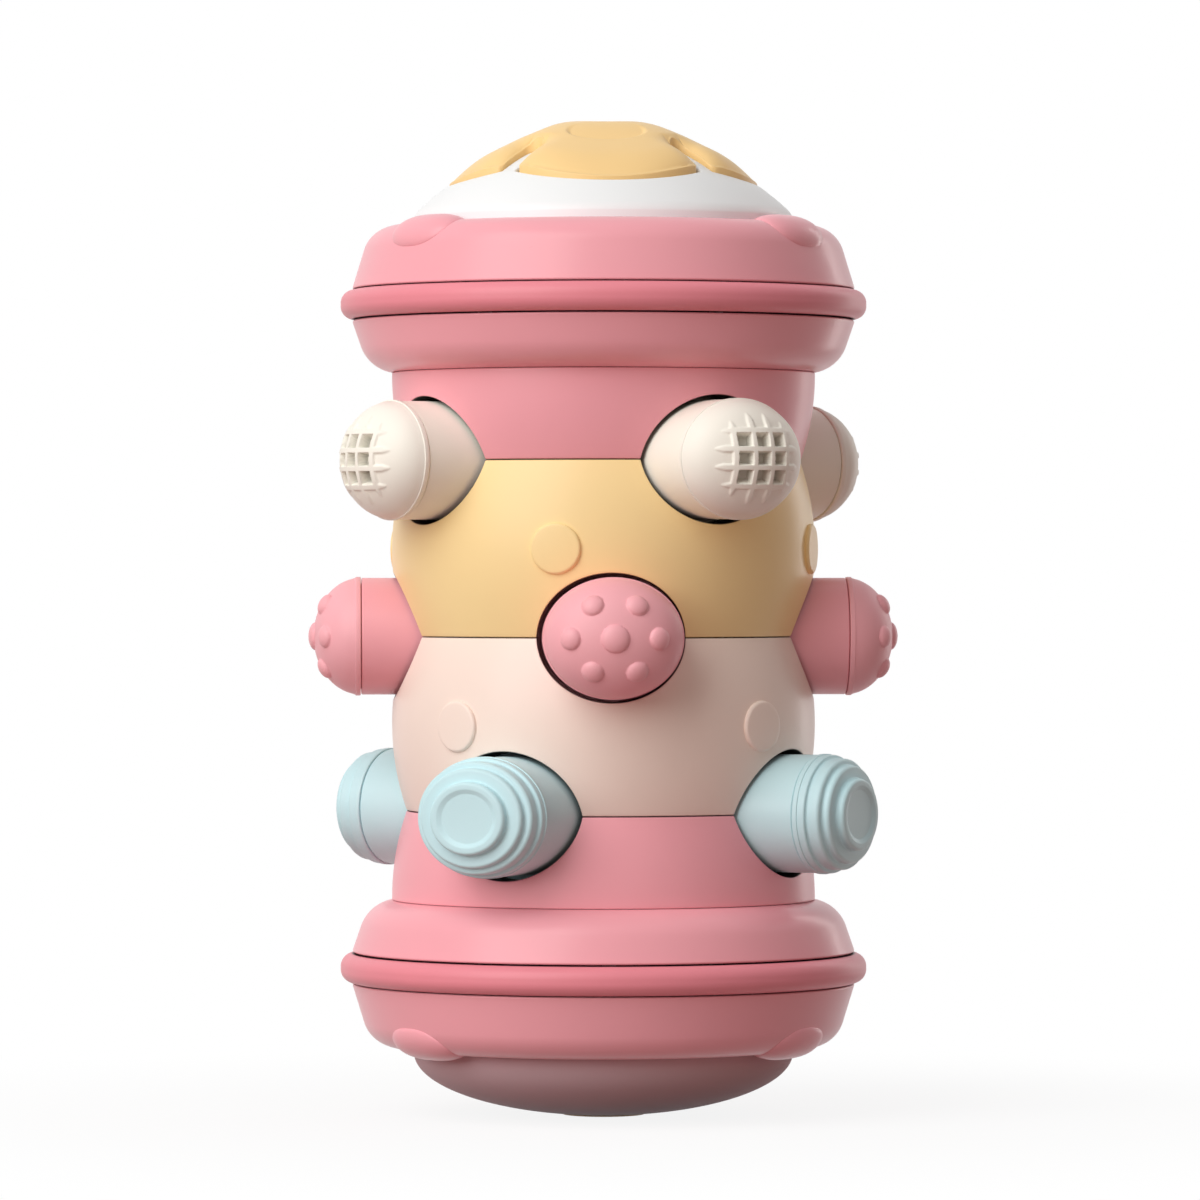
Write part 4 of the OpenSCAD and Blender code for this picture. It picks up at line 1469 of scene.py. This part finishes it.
    def finger(self, turn: float) -> Array:
        """White bar of the dome that fills a slot between two petals: an oblong, swept down from the dome.

        Args:
            turn: angle of the slot, in radians.

        Returns:
            Grid of points, shape (rows, columns, 3).
        """
        half = self.slot_w / 2 - self.gap
        root = self.slot_root_r - half
        reach = self.flower_r + self.finger_over
        corners = [(root, -half, half), (reach, -half, 0.0), (reach, half, 0.0), (root, half, half)]
        line = rounded(corners, steps=8)
        line = evenly(np.concatenate([line, line[:1]]), self.finger_columns)
        spine = np.stack([np.clip(line[:, 0], self.slot_root_r, reach - half), 0 * line[:, 1]], axis=1)
        shares = np.array(self.finger_shares)[:, None, None]
        top = spine * (1 - shares) + line * shares
        drops = np.array(self.finger_drops)[:, None] + self.finger_sink
        top_z = self.dome_z(np.linalg.norm(top, axis=2)) - drops
        low_z = top_z[-1:] - self.plan.wall
        flat = np.concatenate([top, line[None], spine[None]])
        height = self.plan.mid_z + np.concatenate([top_z, low_z, low_z])
        return np.stack([*turned(flat[:, :, 0], flat[:, :, 1], turn), height], axis=2)

    def build(self, shop: Workshop) -> None:
        """Makes the dome and the flower.

        Args:
            shop: maker of the pieces.
        """
        skin = Skin().add(self.dome())
        for turn in self.petal_turns + self.sector / 2:
            skin.add(self.finger(turn), False)
        shop.piece("upper_dome", skin, DOME_WHITE, ["dome_top"])
        skin = Skin().add(self.flower(), False)
        shop.piece("flower", skin, FLOWER_YELLOW, ["flower_button"], "flower")


@dataclass
class FootEnd:
    """Lower dome and the flat foot disc that the roller stands on.

    Attributes:
        plan: shared sizes.
        base_rise: height of the dome below its rim.
        foot_r: radius of the foot disc.
        foot_t: thickness of the foot disc.
        gap: clearance of the disc in the dome.
        edge: rounding of the disc's edge.
        hole_r: radius of the hole in the disc's pocket.
        inner_slope: width and height of the slope inside the dome.
        skirt_inset: how far below the rim's face that slope starts.
        bowl_rows: rows on the dome.
    """

    plan: Plan
    base_rise: float = 14.3
    foot_r: float = 10.0
    foot_t: float = 2.4
    gap: float = 0.2
    edge: float = 0.8
    hole_r: float = 4.0
    inner_slope: Pair = (12.0, 4.0)
    skirt_inset: float = 1.0
    bowl_rows: int = 60

    def dome_profile(self) -> Array:
        """Section of the lower dome: a quarter ellipse from the rim to the pocket of the foot disc.

        Returns:
            Points of (radius, height from the middle seam), shape (n, 2).
        """
        plan = self.plan
        rim_z = plan.rim_top_z
        pocket_r = self.foot_r + self.gap
        angle = np.linspace(0, np.arccos(pocket_r / plan.dome_r), self.bowl_rows)
        bowl = [(plan.dome_r * np.cos(a), rim_z + self.base_rise * np.sin(a), 0.0) for a in angle]
        seat_z = rim_z + self.base_rise - self.foot_t
        under_z = seat_z - plan.wall
        inner_r = plan.dome_r - plan.wall
        foot_z = rim_z - plan.skirt_h
        inside = [
            (pocket_r, seat_z, 0.0),
            (self.hole_r, seat_z, 0.0),
            (self.hole_r, under_z, 0.0),
            (inner_r - self.inner_slope[0], under_z - self.inner_slope[1], 0.0),
            (inner_r, rim_z - self.skirt_inset, 0.0),
            (inner_r, foot_z, plan.hidden_round),
            (plan.dome_r, foot_z, plan.hidden_round),
        ]
        return rounded(bowl + inside)

    def foot_profile(self) -> Array:
        """Section of the foot disc, from the axis out and back.

        Returns:
            Points of (radius, height from the middle seam), shape (n, 2).
        """
        foot_z = self.plan.rim_top_z + self.base_rise
        back_z = foot_z - self.foot_t
        corners = [(0.0, foot_z, 0.0), (self.foot_r, foot_z, self.edge)]
        corners += [(self.foot_r, back_z, 0.0), (0.0, back_z, 0.0)]
        return rounded(corners, steps=9, closed=False)

    def build(self, shop: Workshop) -> None:
        """Makes the lower dome and the foot disc.

        Args:
            shop: maker of the pieces.
        """
        skin = Skin().add(lathe(self.plan.at_end(self.dome_profile(), End.BOTTOM)))
        # The lower dome's dye carries painted shade: a darker copy of the white dome.
        shop.piece("lower_dome", skin, LOWER_DOME_SHADED, ["dome_bottom"])
        skin = Skin().add(lathe(self.plan.at_end(self.foot_profile(), End.BOTTOM)), False)
        shop.piece("standing_foot", skin, FOOT_YELLOW, ["foot_disc"])


@dataclass
class PushPegs:
    """Twelve pegs: an oval plunger, a soft cap with the pattern of its row, and a spring.

    Attributes:
        plan: shared sizes.
        reach: distance from the axis to the crown of a cap.
        cap_rise: height of a cap above its parting line.
        lip: width of the lip at the foot of a cap.
        lip_h: height of that lip.
        lip_rounds: roundings that take turns along the lip's section.
        foot_h: height of the straight foot of a cap.
        part_gap: depth of the parting line between cap and plunger.
        part_inset: how far the parting line goes in.
        flange_in: distance from the axis to the inner face of the flange.
        flange_t: thickness of the flange.
        flange_w: width of the flange.
        plunger_wall: wall of a plunger.
        plunger_rounds: roundings of a plunger's crown, outside and inside.
        plunger_columns: columns round a plunger.
        rib_w: width of a rib of the grid caps.
        rib_pitch: pitch of those ribs round the body and up it.
        ribs: ribs each way.
        rib_rise: height of the ribs above the crown.
        rib_half: half sizes of the oval in which the ribs run out.
        rib_taper: factor and power by which a rib narrows with its height.
        rib_edge: softness of a rib's edge.
        cell_depth: depth of the cells between the ribs.
        cell_painted_shade: strength of the painted shade on the cells' floors.
        cell_span: depth at which the painted shade starts, and share of the cells' depth at which it is full.
        bump_r: radius of the middle bump on the cap's surface.
        small_bump_r: radius of the bumps round it.
        bump_rise: height of the bumps.
        bump_blunt: power that makes the bumps blunter than a parabola, below 1.
        ring_bumps: number of bumps round the middle one.
        bump_ring: share of the cap at which they stand.
        terraces: width share, height share and edge rounding of each terrace.
        terrace_foot: share of the lip's height at which the terraces start.
        terrace_root: rounding at the root of a terrace.
        dish: depth of the dish in the crown of the terrace caps.
        dish_span: shares of the crown at which the dish starts and at which its floor starts.
        dish_floor: share of the dish's depth at which its floor starts.
        dish_round: rounding of the dish's edges.
        coil_r: mean radius of a spring.
        wire_r: radius of its wire.
        coil_turns: turns of a spring.
        coil_gap: clearance at the ends of a spring.
        seat_r: distance from the axis to the spring's seat.
        travel: how far a peg goes in.
        cap_rows: rows from the crown to the foot of a cap.
        cap_columns: columns round a cap.
    """

    plan: Plan
    reach: float = 66.6
    cap_rise: float = 10.8
    lip: float = 0.22
    lip_h: float = 1.2
    lip_rounds: Pair = (0.25, 0.2)
    foot_h: float = 2.0
    part_gap: float = 0.15
    part_inset: float = 1.5
    flange_in: float = 33.6
    flange_t: float = 2.0
    flange_w: float = 2.2
    plunger_wall: float = 1.8
    plunger_rounds: Pair = (0.35, 1.0)
    plunger_columns: int = 128
    rib_w: float = 1.4
    rib_pitch: Pair = (4.4, 4.05)
    ribs: int = 4
    rib_rise: float = 0.7
    rib_half: Pair = (11.2, 10.4)
    rib_taper: Pair = (3.2, 0.7)
    rib_edge: float = 0.2
    cell_depth: float = 2.0
    cell_painted_shade: float = 0.35
    cell_span: Pair = (0.3, 0.8)
    bump_r: float = 3.15
    small_bump_r: float = 2.5
    bump_rise: float = 1.2
    bump_blunt: float = 0.55
    ring_bumps: int = 6
    bump_ring: float = 0.64
    terraces: tuple[tuple[float, float, float], ...] = (
        (1.0, 0.28, 0.6),
        (0.94, 0.57, 2.2),
        (0.83, 0.74, 1.0),
        (0.61, 0.92, 0.9),
    )
    terrace_foot: float = 0.5
    terrace_root: float = 0.5
    dish: float = 0.6
    dish_span: Pair = (0.8, 0.68)
    dish_floor: float = 0.85
    dish_round: float = 0.9
    coil_r: float = 6.4
    wire_r: float = 0.6
    coil_turns: int = 6
    coil_gap: float = 0.2
    seat_r: float = 17.0
    travel: float = 10.0
    cap_rows: int = 104
    cap_columns: int = 240

    @property
    def half_w(self) -> float:
        """Half of a peg's width."""
        return self.plan.peg_w / 2

    @property
    def half_h(self) -> float:
        """Half of a peg's height."""
        return self.plan.peg_h / 2

    @property
    def part_r(self) -> float:
        """Distance from the axis to the parting line of cap and plunger."""
        return self.reach - self.cap_rise

    def place(self, local: Array, row: Row, k: int) -> Array:
        """Turns points of (outward, round the body, up) to a peg.

        Args:
            local: the points, shape (..., 3).
            row: row of the peg.
            k: number of the peg in its row, from 1.

        Returns:
            The points in the roller's frame, shape (..., 3).
        """
        turn = self.plan.row_turn(row) + self.plan.peg_step * (k - 1)
        x, y = turned(local[..., 0], local[..., 1], turn)
        return np.stack([x, y, self.plan.row_z(row) + local[..., 2]], axis=-1)

    def oval_lathe(self, profile: Array, columns: int) -> Array:
        """Profile of (distance from the peg's side, outward) carried round the oval of the peg.

        A distance d outside the side gives the oval of half width w + d and half height h + d. Inside it, the
        oval shrinks towards the peg's axis and keeps its shape.

        Args:
            profile: points of the profile, shape (n, 2).
            columns: steps round the oval.

        Returns:
            Grid of points of (outward, round the body, up).
        """
        angle = circle(columns)
        offset = profile[:, :1]
        wide = np.maximum(self.half_w + offset, 0)
        high = np.maximum(self.half_h + offset * np.where(offset < 0, self.half_h / self.half_w, 1.0), 0)
        out = np.broadcast_to(profile[:, 1:], (len(profile), columns))
        return np.stack([out, wide * np.cos(angle), high * np.sin(angle)], axis=2)

    def plunger(self) -> Array:
        """Hollow oval plunger: crown, straight barrel, flange and the inside of the barrel.

        Returns:
            Grid of points of (outward, round the body, up).
        """
        top = self.part_r - self.part_gap
        flange_out = self.flange_in + self.flange_t
        inside = -self.plunger_wall
        crown = top - self.plunger_wall
        small = self.plan.hidden_round
        outline = [
            (-self.half_w, top, 0.0),
            (0.0, top, self.plunger_rounds[0]),
            (0.0, flange_out, small),
            (self.flange_w, flange_out, small),
            (self.flange_w, self.flange_in, small),
            (inside, self.flange_in, small),
            (inside, crown, self.plunger_rounds[1]),
            (-self.half_w, crown, 0.0),
        ]
        return self.oval_lathe(rounded(outline, steps=6, closed=False), self.plunger_columns)

    def foot(self) -> Array:
        """Foot of a cap: a small lip that stands out beside the parting line, and the underside.

        Returns:
            Grid of points of (outward, round the body, up).
        """
        lip_out = self.part_r + self.lip_h
        under = self.part_r - self.part_gap
        wide, tight = self.lip_rounds
        outline = [
            (0.0, self.part_r + self.foot_h, 0.0),
            (0.0, lip_out, wide),
            (self.lip, lip_out, tight),
            (self.lip, self.part_r, wide),
            (-self.part_inset, self.part_r, tight),
            (-self.part_inset, under, 0.0),
            (-self.half_w, under, 0.0),
        ]
        return self.oval_lathe(rounded(outline, steps=5, closed=False)[1:], self.cap_columns)

    def dome_cap(self, pattern: Callable[[Array, Array, Array], Array]) -> tuple[Array, Array]:
        """Cap in the form of half an ellipsoid with a pattern on it.

        Rows go from the crown to the foot: with t from 0 to a quarter turn, the oval has the share sin t of
        the peg and stands at cap rise times cos t. The pattern gives the height that is added along the
        outward normal.

        Args:
            pattern: height from the two places across the cap and the height of the plain dome.

        Returns:
            Grid of points of (outward, round the body, up), and the painted shade of each of them.
        """
        t = np.linspace(0, np.arccos(self.foot_h / self.cap_rise), self.cap_rows)[:, None]
        angle = circle(self.cap_columns)
        u = self.half_w * np.sin(t) * np.cos(angle)
        v = self.half_h * np.sin(t) * np.sin(angle)
        a = self.cap_rise * np.cos(t) + 0 * angle
        normal = np.stack([a / self.cap_rise**2, u / self.half_w**2, v / self.half_h**2], axis=2)
        normal /= np.linalg.norm(normal, axis=2, keepdims=True)
        height = pattern(u, v, a)
        dome = np.stack([self.part_r + a, u, v], axis=2) + height[:, :, None] * normal
        foot = self.foot()
        # Painted shade in the sunk cells, where shade falls between the ribs.
        painted_shade = self.cell_painted_shade * smooth_step(-self.cell_span[0], -self.cell_span[1] * self.cell_depth, height)
        return np.concatenate([dome, foot]), np.concatenate([painted_shade, 0 * foot[:, :, 0]])

    def grid_pattern(self, u: Array, v: Array, a: Array) -> Array:
        """Crossed ribs that stand on the crown and run out in points, with sunk cells between them.

        A rib's height falls as rise * sqrt(1 - (u / half)^2 - (v / half)^2) from the crown, and its section
        narrows with its height, so that its end is a point. A rib's share is a soft step on the distance from
        its middle line.

        Args:
            u: place across the cap, round the body.
            v: place across the cap, up the body.
            a: height of the plain dome, which the ribs don't need.

        Returns:
            Height along the normal, above 0 on the ribs and below 0 in the cells.
        """
        reach = (self.ribs - 1) / 2
        count = (np.arange(self.ribs) - reach)[:, None, None]
        height = np.maximum(1 - (u / self.rib_half[0]) ** 2 - (v / self.rib_half[1]) ** 2, 0)
        half = self.rib_w / 2 * np.minimum(1, self.rib_taper[0] * height) ** self.rib_taper[1]
        off = np.full_like(u, np.inf)
        cell = np.full_like(u, -self.cell_depth)
        for way, pitch in zip((u, v), self.rib_pitch):
            off = np.minimum(off, np.abs(way - count * pitch).min(axis=0))
            cell = cell * (1 - smooth_step(-self.rib_edge, self.rib_edge, np.abs(way) - reach * pitch))
        rib = 1 - smooth_step(-self.rib_edge, self.rib_edge, off - half)
        return rib * (self.rib_rise * np.sqrt(height)) + (1 - rib) * cell

    def bump_pattern(self, u: Array, v: Array, a: Array) -> Array:
        """One bump on the crown and a ring of smaller ones: each is rise times (1 - (d / r)^2) to a power.

        Args:
            u: place across the cap, round the body.
            v: place across the cap, up the body.
            a: height of the plain dome.

        Returns:
            Height along the normal.
        """
        turn = FULL_TURN * np.arange(self.ring_bumps) / self.ring_bumps
        level = self.cap_rise * np.sqrt(1 - self.bump_ring**2)
        cu = np.append(0.0, self.bump_ring * self.half_w * np.cos(turn))
        cv = np.append(0.0, self.bump_ring * self.half_h * np.sin(turn))
        ca = np.append(self.cap_rise, np.full(self.ring_bumps, level))
        size = np.append(self.bump_r, np.full(self.ring_bumps, self.small_bump_r))
        away = (u[..., None] - cu) ** 2 + (v[..., None] - cv) ** 2 + (a[..., None] - ca) ** 2
        swell = np.maximum(1 - away / size**2, 0) ** self.bump_blunt
        return self.bump_rise * swell.max(axis=-1)

    def terrace_cap(self) -> tuple[Array, float]:
        """Cap of stacked ovals with a dish on top: a stepped profile carried round the oval.

        Returns:
            Grid of points of (outward, round the body, up), and the painted shade of all of them, which is
            none.
        """
        line = [(0.0, self.part_r + self.terrace_foot * self.lip_h, 0.0)]
        for index, (share, level, soft) in enumerate(self.terraces):
            offset = (share - 1) * self.half_w
            if index:
                line.append((offset, line[-1][1], self.terrace_root))
            line.append((offset, self.part_r + level * self.cap_rise, soft))
        crown_r = line[-1][0] + self.half_w
        crown = line[-1][1]
        start, floor = (share * crown_r - self.half_w for share in self.dish_span)
        line.append((start, crown, self.dish_round))
        line.append((floor, crown - self.dish_floor * self.dish, self.dish_round))
        line.append((-self.half_w, crown - self.dish, 0.0))
        steps = rounded(line, steps=8, closed=False)[::-1]
        return np.concatenate([self.oval_lathe(steps[:-1], self.cap_columns), self.foot()]), 0.0

    def spring(self) -> Array:
        """Spring between its seat and the plunger's crown.

        Returns:
            Grid of points of (outward, round the body, up).
        """
        first = self.seat_r + self.wire_r + self.coil_gap
        last = self.part_r - self.plunger_wall - self.wire_r - self.coil_gap
        return np.roll(helix((first, last), self.coil_r, self.wire_r, self.coil_turns), 1, axis=2)

    def build(self, shop: Workshop) -> None:
        """Makes the caps, plungers and springs of the three rows.

        Args:
            shop: maker of the pieces.
        """
        caps = {
            Row.CREAM: self.dome_cap(self.grid_pattern),
            Row.PINK: self.dome_cap(self.bump_pattern),
            Row.BLUE: self.terrace_cap(),
        }
        plunger = self.plunger()
        spring = self.spring()
        length = self.part_r - self.plunger_wall - self.seat_r
        for row in Row:
            word = row.word
            cap, painted_shade = caps[row]
            for k in range(1, self.plan.pegs_in_row + 1):
                body = f"peg_{word}_{k}"
                skin = Skin().add(self.place(cap, row, k), False, painted_shade)
                name = f"{word}_peg_cap_{k}"
                shop.piece(name, skin, CAP_FINISH[row], [f"{word}_cap_{k}"], body)
                skin = Skin().add(self.place(plunger, row, k), False)
                name = f"{word}_peg_barrel_{k}"
                shop.piece(name, skin, PEG_FINISH[row], [f"{word}_plunger_{k}"], body)
                skin = Skin().add(self.place(spring, row, k), False)
                coil = shop.piece(f"{word}_peg_coil_{k}", skin, STEEL, [f"{word}_spring_{k}"])
                seat = self.place(np.array([self.seat_r, 0.0, 0.0]), row, k)
                tip = self.place(np.array([self.reach, 0.0, 0.0]), row, k)
                (length - self.travel) / length
                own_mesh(coil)


@dataclass
class InnerFrame:
    """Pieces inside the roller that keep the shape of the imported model, and the spring of the flower.

    Attributes:
        coil_r: mean radius of the button spring.
        wire_r: radius of its wire.
        coil_turns: its turns.
        travel: how far the flower goes in.
    """

    coil_r: float = 5.6
    wire_r: float = 0.6
    coil_turns: int = 4
    travel: float = 2.5

    def build(self, shop: Workshop) -> None:
        """Dresses the spine and the screws, and makes the button spring.

        Args:
            shop: maker of the pieces.
        """
        shop.dress(["spine"], FRAME_PLASTIC)
        shop.dress(["rim_screws_top", "rim_screws_bottom"], STEEL)
        low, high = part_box("button_spring")
        first = low.z / MM + self.wire_r
        last = high.z / MM - self.wire_r
        grid = helix((first, last), self.coil_r, self.wire_r, self.coil_turns)
        coil = shop.piece("flower_coil", Skin().add(grid, False), STEEL, ["button_spring"])
        length = last - first
        seat = (0.0, 0.0, first * MM)
        (length - self.travel) / length
        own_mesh(coil)


# Surroundings


def face(made: bpy.types.Object, target: Vector) -> None:
    """Turns a lamp or a camera to a target."""
    made.rotation_euler = (target - made.location).to_track_quat("-Z", "Y").to_euler()


@dataclass(frozen=True)
class SoftLamp:
    """Soft lamp that faces the roller.

    Attributes:
        name: name of the lamp.
        place: its place, in metres.
        size: width and height of its face, in metres.
        power: its power in watts.
        tint: its colour.
    """

    name: str
    place: Place
    size: Pair
    power: float
    tint: Colour

    def build(self, target: Vector) -> None:
        """Adds the lamp.

        Args:
            target: place that it faces.
        """
        data = bpy.data.lights.new(self.name, "AREA")
        data.shape = "RECTANGLE"
        data.size, data.size_y = self.size
        data.energy = self.power
        data.color = self.tint
        made = add_object(self.name, data)
        made.location = self.place
        face(made, target)


@dataclass
class Studio:
    """Pale floor, soft light and the camera of the photograph.

    Attributes:
        plan: shared sizes.
        azimuth: angle of the camera round the roller, in degrees.
        distance: distance of the camera from the axis, in metres.
        eye_z: height of the camera, in metres.
        aim_z: height of the picture's middle at the axis, in metres.
        aim_side: how far the picture's middle lies left of the axis, in metres.
        lens: focal length in millimetres.
        sensor: width of the camera's sensor in millimetres.
        clip: nearest and farthest distance that the camera sees, in metres.
        floor_r: radius of the floor, in metres.
        floor_corners: corners of the floor's outline.
        floor_drop: how far the floor lies below the foot, in metres.
        floor_tone: colour of the floor for the light that it throws back.
        floor_pale: colour of the floor where it is seen.
        fade: radii between which the floor's shadow fades out, in metres.
        shadow_share: share of the floor's own light in what the camera sees of it.
        floor_white: light that makes up the rest of it.
        ambient: light of the world on the object, from the sides and from below.
        ambient_tone: colour of that light.
        dusk: share of that light that is left on the far side from the lamp.
        dusk_span: places across the sky between which it falls to that share.
        ceiling: plain light of the world from above.
        ceiling_span: heights in the sky between which the plain light takes over.
        lamps: the lamps.
    """

    plan: Plan
    azimuth: float = -2.3
    distance: float = 1.612
    eye_z: float = 0.1253
    aim_z: float = 0.1182
    aim_side: float = 0.0008
    lens: float = 210.3
    sensor: float = 36.0
    clip: Pair = (0.05, 60.0)
    floor_r: float = 0.5
    floor_corners: int = 96
    floor_drop: float = 0.00005
    floor_tone: Colour = (0.38, 0.24, 0.22)
    floor_pale: Colour = (0.95, 0.95, 0.95)
    fade: Pair = (0.06, 0.24)
    shadow_share: float = 0.12
    floor_white: float = 1.0
    ambient: float = 0.33
    ambient_tone: Colour = (1.0, 0.68, 0.57)
    dusk: float = 0.78
    dusk_span: Pair = (-0.1, 0.8)
    ceiling: float = 0.36
    ceiling_span: Pair = (0.1, 0.8)
    lamps: tuple[SoftLamp, ...] = (
        SoftLamp("key", (-1.55, -1.53, 1.48), (2.0, 2.8), 63.0, (1.0, 0.995, 0.985)),
        SoftLamp("edge", (0.8, 0.85, 0.3), (0.15, 1.0), 1.6, (1.0, 0.95, 0.92)),
    )

    def seen(self, graph: Graph) -> Sock:
        """Marks what is seen, as against what only lights the object.

        Args:
            graph: graph of a material or of the world.

        Returns:
            1 for rays of the camera, of reflections and of see-through surfaces, or else 0.
        """
        path = "ShaderNodeLightPath"
        camera = graph.node(path, None, None, "Is Camera Ray")
        glossy = graph.node(path, None, None, "Is Glossy Ray")
        through = graph.node(path, None, None, "Is Transmission Ray")
        return camera.most(glossy).most(through)

    def world(self) -> None:
        """White surroundings where they are seen, and a soft light elsewhere.

        That light is warm from the sides and from below, dimmer on the far side from the lamp, and plain from
        above.
        """
        world = bpy.data.worlds.new("studio")
        world.use_nodes = True
        graph = Graph(world.node_tree)

        def sky(colour: Sequence[float], strength: float) -> Sock:
            """Even light of one colour."""
            return graph.node("ShaderNodeBackground", None, {"Color": colour, "Strength": strength})

        tone = (*self.ambient_tone, 1.0)
        way = graph.node("ShaderNodeTexCoord", None, None, "Generated")
        across = graph.node("ShaderNodeSeparateXYZ", None, {0: way}, "X")
        up = graph.node("ShaderNodeSeparateXYZ", None, {0: way}, "Z")
        right = graph.ramp(across, self.dusk_span)
        sides = graph.mix(right, sky(tone, self.ambient), sky(tone, self.ambient * self.dusk))
        around = graph.mix(graph.ramp(up, self.ceiling_span), sides, sky(WHITE, self.ceiling))
        both = graph.mix(self.seen(graph), around, sky(WHITE, 1.0))
        graph.node("ShaderNodeOutputWorld", None, {"Surface": both})
        bpy.context.scene.world = world

    def floor(self) -> None:
        """Round pale floor.

        It keeps a soft shadow, is white where the light reaches it and is clear from below.
        """
        mesh = bpy.data.meshes.new("floor")
        ring = polar(np.array(self.floor_r), circle(self.floor_corners), np.array(0.0))
        mesh.from_pydata(ring, [], [list(range(len(ring)))])
        made, graph = blank_material("pale_floor")
        seen = self.seen(graph)
        tone = graph.blend(seen, (*self.floor_tone, 1), (*self.floor_pale, 1))
        matt = graph.node("ShaderNodeBsdfDiffuse", None, {"Color": tone})
        place = graph.node("ShaderNodeTexCoord", None, None, "Object")
        away = graph.node("ShaderNodeVectorMath", {"operation": "LENGTH"}, {0: place}, "Value")
        share = graph.ramp(away, self.fade, (self.shadow_share, 0.0))
        white = graph.node("ShaderNodeEmission", None, {"Color": WHITE, "Strength": self.floor_white})
        above = graph.mix(seen * (1 - share), matt, white)
        below = graph.node("ShaderNodeNewGeometry", None, None, "Backfacing")
        both = graph.mix(below, above, graph.node("ShaderNodeBsdfTransparent"))
        graph.node("ShaderNodeOutputMaterial", None, {"Surface": both})
        mesh.materials.append(made)
        plane = add_object("floor", mesh)
        plane.location.z = -self.floor_drop

    def camera(self) -> None:
        """Camera at the photograph's angle, distance and height."""
        data = bpy.data.cameras.new("camera")
        data.lens = self.lens
        data.sensor_width = self.sensor
        data.clip_start, data.clip_end = self.clip
        turn = np.radians(self.azimuth)
        back = Vector((np.sin(turn), -np.cos(turn), 0))
        right = Vector((np.cos(turn), np.sin(turn), 0))
        made = add_object("camera", data)
        made.location = back * self.distance + Vector((0, 0, self.eye_z))
        face(made, Vector((0, 0, self.aim_z)) - right * self.aim_side)
        bpy.context.scene.camera = made

    def build(self) -> None:
        """Sets the view, the surroundings, the floor, the lamps and the camera."""
        bpy.context.scene.view_settings.view_transform = "Standard"
        self.world()
        self.floor()
        for lamp in self.lamps:
            lamp.build(Vector((0, 0, self.plan.mid_z * MM)))
        self.camera()


def main() -> None:
    """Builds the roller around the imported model."""
    logging.basicConfig(level=logging.INFO, format="%(name)s: %(message)s")
    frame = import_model()
    plan = Plan.from_frame()
    shop = Workshop(frame["nodes"])
    Studio(plan).build()
    BarrelBands(plan).build(shop)
    EndRims(plan).build(shop)
    FlowerEnd(plan).build(shop)
    FootEnd(plan).build(shop)
    PushPegs(plan).build(shop)
    InnerFrame().build(shop)


if __name__ == "__main__":
    main()
